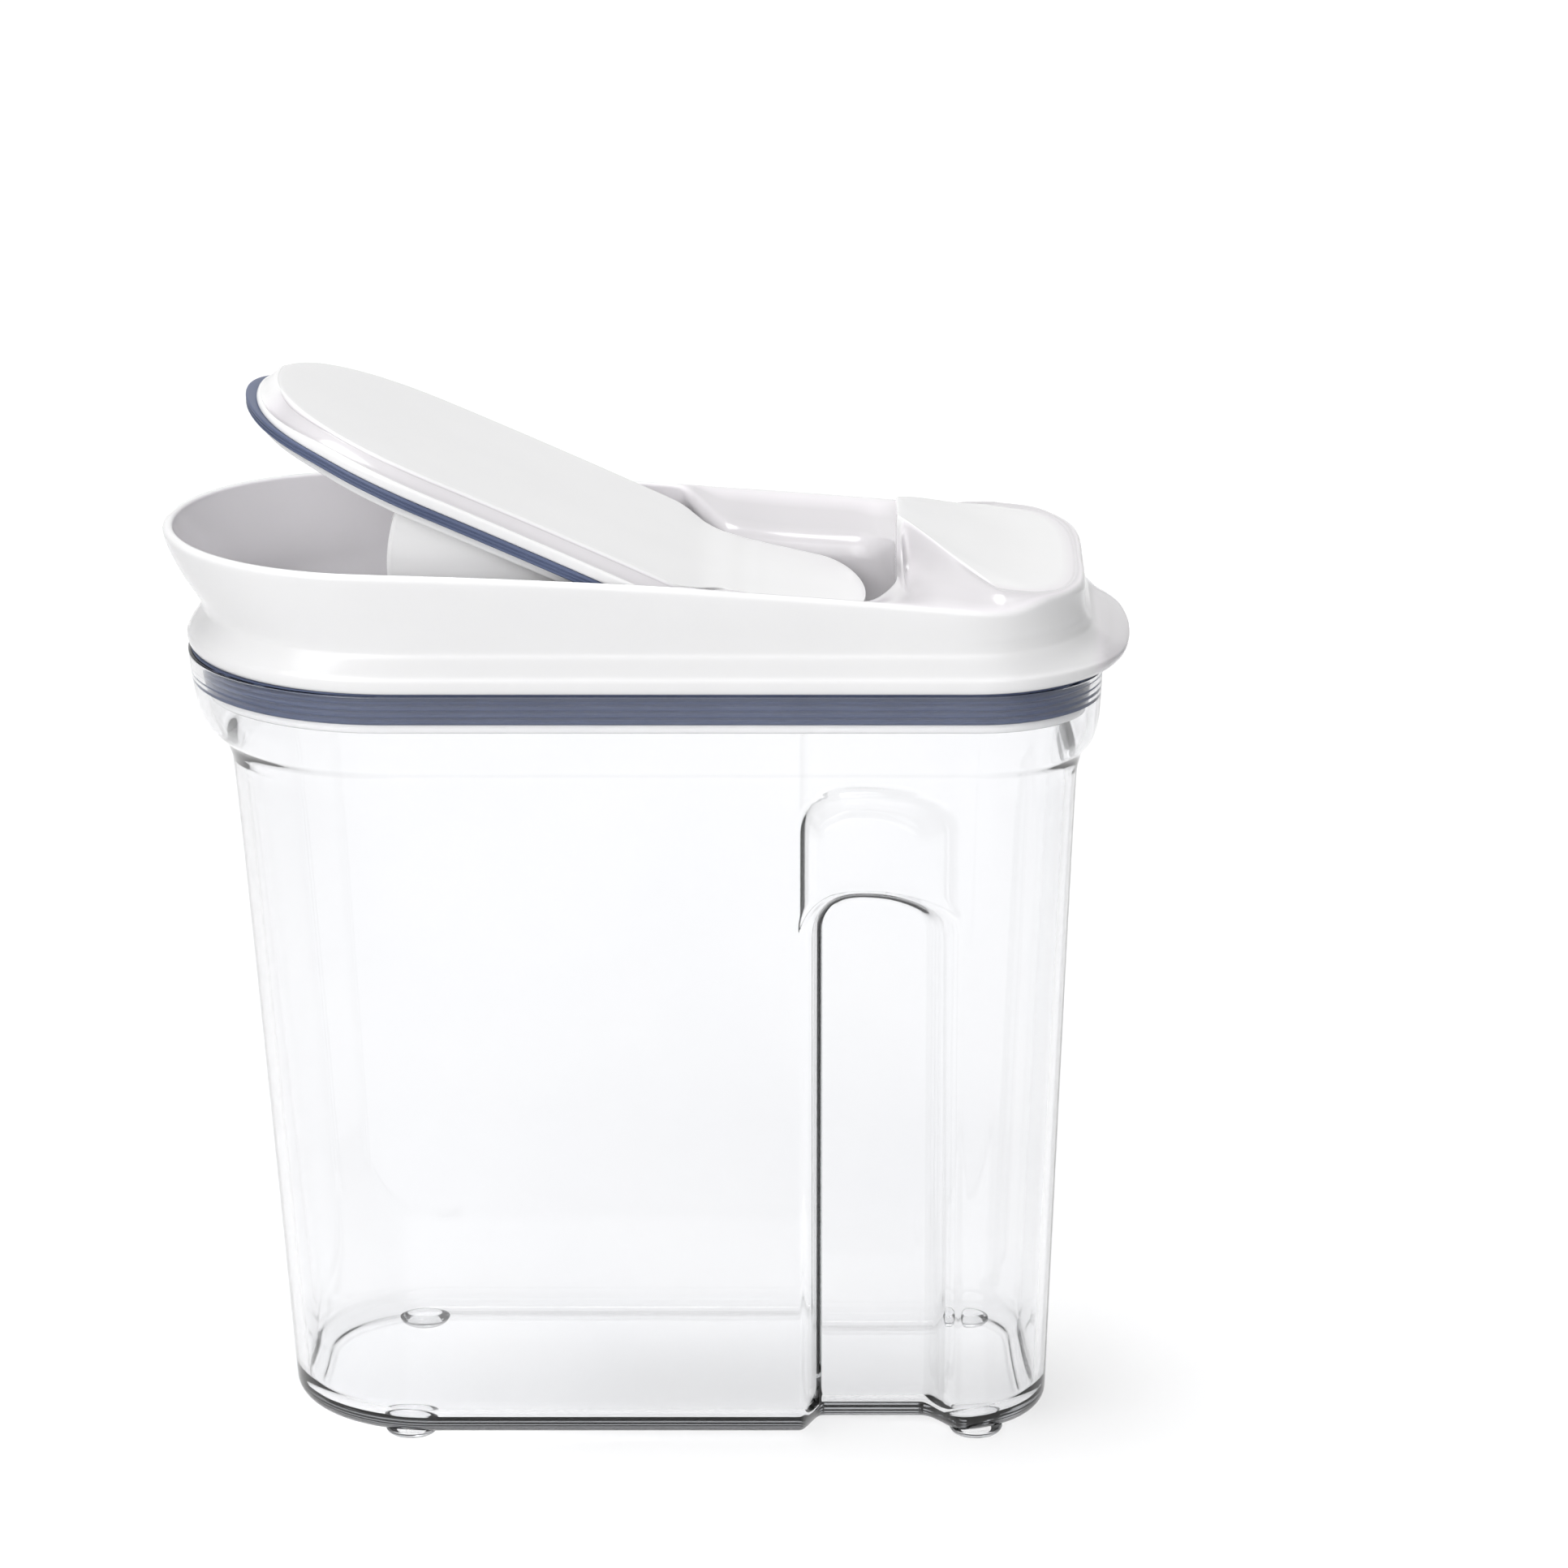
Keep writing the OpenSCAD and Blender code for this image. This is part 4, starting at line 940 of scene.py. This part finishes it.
def floor():
    """A matt white floor with a glow of its own, so that it meets the white background without a line."""
    mesh = bpy.data.meshes.new("floor")
    s = FLOOR_SIZE / 2
    mesh.from_pydata([(-s, -s, 0), (s, -s, 0), (s, s, 0), (-s, s, 0)], [], [(0, 1, 2, 3)])
    obj = bpy.data.objects.new("floor", mesh)
    bpy.context.scene.collection.objects.link(obj)
    m, nodes, links, shader = material("floor_white")
    coord, split = nodes.new("ShaderNodeTexCoord"), nodes.new("ShaderNodeSeparateXYZ")
    links.new(coord.outputs["Object"], split.inputs[0])
    fade = sideways(nodes, links, split.outputs["X"], 0.22, 0.8, FLOOR_GLOW, FLOOR_GLOW * SIDE_DARK)
    shader.inputs["Base Color"].default_value = (0.62, 0.62, 0.625, 1)
    shader.inputs["Roughness"].default_value = 0.9
    shader.inputs["Specular IOR Level"].default_value = 0.1
    glow = nodes.new("ShaderNodeEmission")
    path = nodes.new("ShaderNodeLightPath")
    direct, scale, total = (nodes.new("ShaderNodeMath") for _ in range(3))
    direct.operation, scale.operation, total.operation = "MULTIPLY", "MULTIPLY", "MAXIMUM"
    links.new(path.outputs["Is Camera Ray"], direct.inputs[0])
    direct.inputs[1].default_value = FLOOR_GLOW
    links.new(background_factor(nodes, links), scale.inputs[0])
    links.new(fade, scale.inputs[1])
    links.new(direct.outputs[0], total.inputs[0])
    links.new(scale.outputs[0], total.inputs[1])
    links.new(total.outputs[0], glow.inputs["Strength"])
    add = nodes.new("ShaderNodeAddShader")
    links.new(shader.outputs[0], add.inputs[0])
    links.new(glow.outputs[0], add.inputs[1])
    links.new(add.outputs[0], nodes["Material Output"].inputs["Surface"])
    mesh.materials.append(m)


def world():
    """A plain white background; it lights the part by WORLD_LIGHT only."""
    w = bpy.data.worlds.new("studio")
    bpy.context.scene.world = w
    w.use_nodes = True
    nodes, links = w.node_tree.nodes, w.node_tree.links
    sky = nodes["Background"]
    sky.inputs["Color"].default_value = (1, 1, 1, 1)
    coord, split = nodes.new("ShaderNodeTexCoord"), nodes.new("ShaderNodeSeparateXYZ")
    links.new(coord.outputs["Generated"], split.inputs[0])
    fade = sideways(nodes, links, split.outputs["X"], 0.22, 0.85, 1.0, SIDE_DARK)
    path = nodes.new("ShaderNodeLightPath")
    seen, dimmed, total = (nodes.new("ShaderNodeMath") for _ in range(3))
    seen.operation, dimmed.operation, total.operation = "MULTIPLY", "MAXIMUM", "MAXIMUM"
    links.new(background_factor(nodes, links), seen.inputs[0])
    links.new(fade, seen.inputs[1])
    links.new(seen.outputs[0], dimmed.inputs[0])
    dimmed.inputs[1].default_value = WORLD_LIGHT
    links.new(dimmed.outputs[0], total.inputs[0])
    links.new(path.outputs["Is Camera Ray"], total.inputs[1])
    links.new(total.outputs[0], sky.inputs["Strength"])


def sun(name, toward_light, strength, spread):
    """A wide soft light from one side; toward_light points from the object to the light."""
    light = bpy.data.lights.new(name, "SUN")
    light.energy = strength * math.pi
    light.angle = math.radians(spread)
    obj = bpy.data.objects.new(name, light)
    obj.rotation_euler = Vector(toward_light).to_track_quat("Z", "Y").to_euler()
    bpy.context.scene.collection.objects.link(obj)


def strip(name, place, aim, size, power):
    """A long soft box, for the bright lines along glossy edges."""
    light = bpy.data.lights.new(name, "AREA")
    light.shape = "RECTANGLE"
    light.size, light.size_y = size
    light.energy = power
    obj = bpy.data.objects.new(name, light)
    obj.location = place
    obj.rotation_euler = (Vector(place) - Vector(aim)).to_track_quat("Z", "Y").to_euler()
    bpy.context.scene.collection.objects.link(obj)


floor()
world()
sun("key", (-0.5, -0.68, 0.45), 0.46, 50)
sun("front", (0.0, -0.9, 0.42), 0.24, 60)
sun("top", (-0.1, 0.05, 1.0), 0.54, 30)
strip("strip", (-0.25, -1.1, 1.75), (0, 0, 0.14), (1.6, 0.22), 1.5)
for clear_piece in (tub, feet):
    clear_piece.visible_shadow = False

camera_data = bpy.data.cameras.new("camera")
camera_data.sensor_width = 36
camera_data.lens = CAMERA_LENS
camera_data.clip_end = 100
camera = bpy.data.objects.new("camera", camera_data)
camera.location = CAMERA_PLACE
camera.rotation_euler = (math.radians(90 - CAMERA_TILT), 0, 0)
bpy.context.scene.collection.objects.link(camera)
bpy.context.scene.camera = camera
bpy.context.scene.view_settings.view_transform = "Standard"
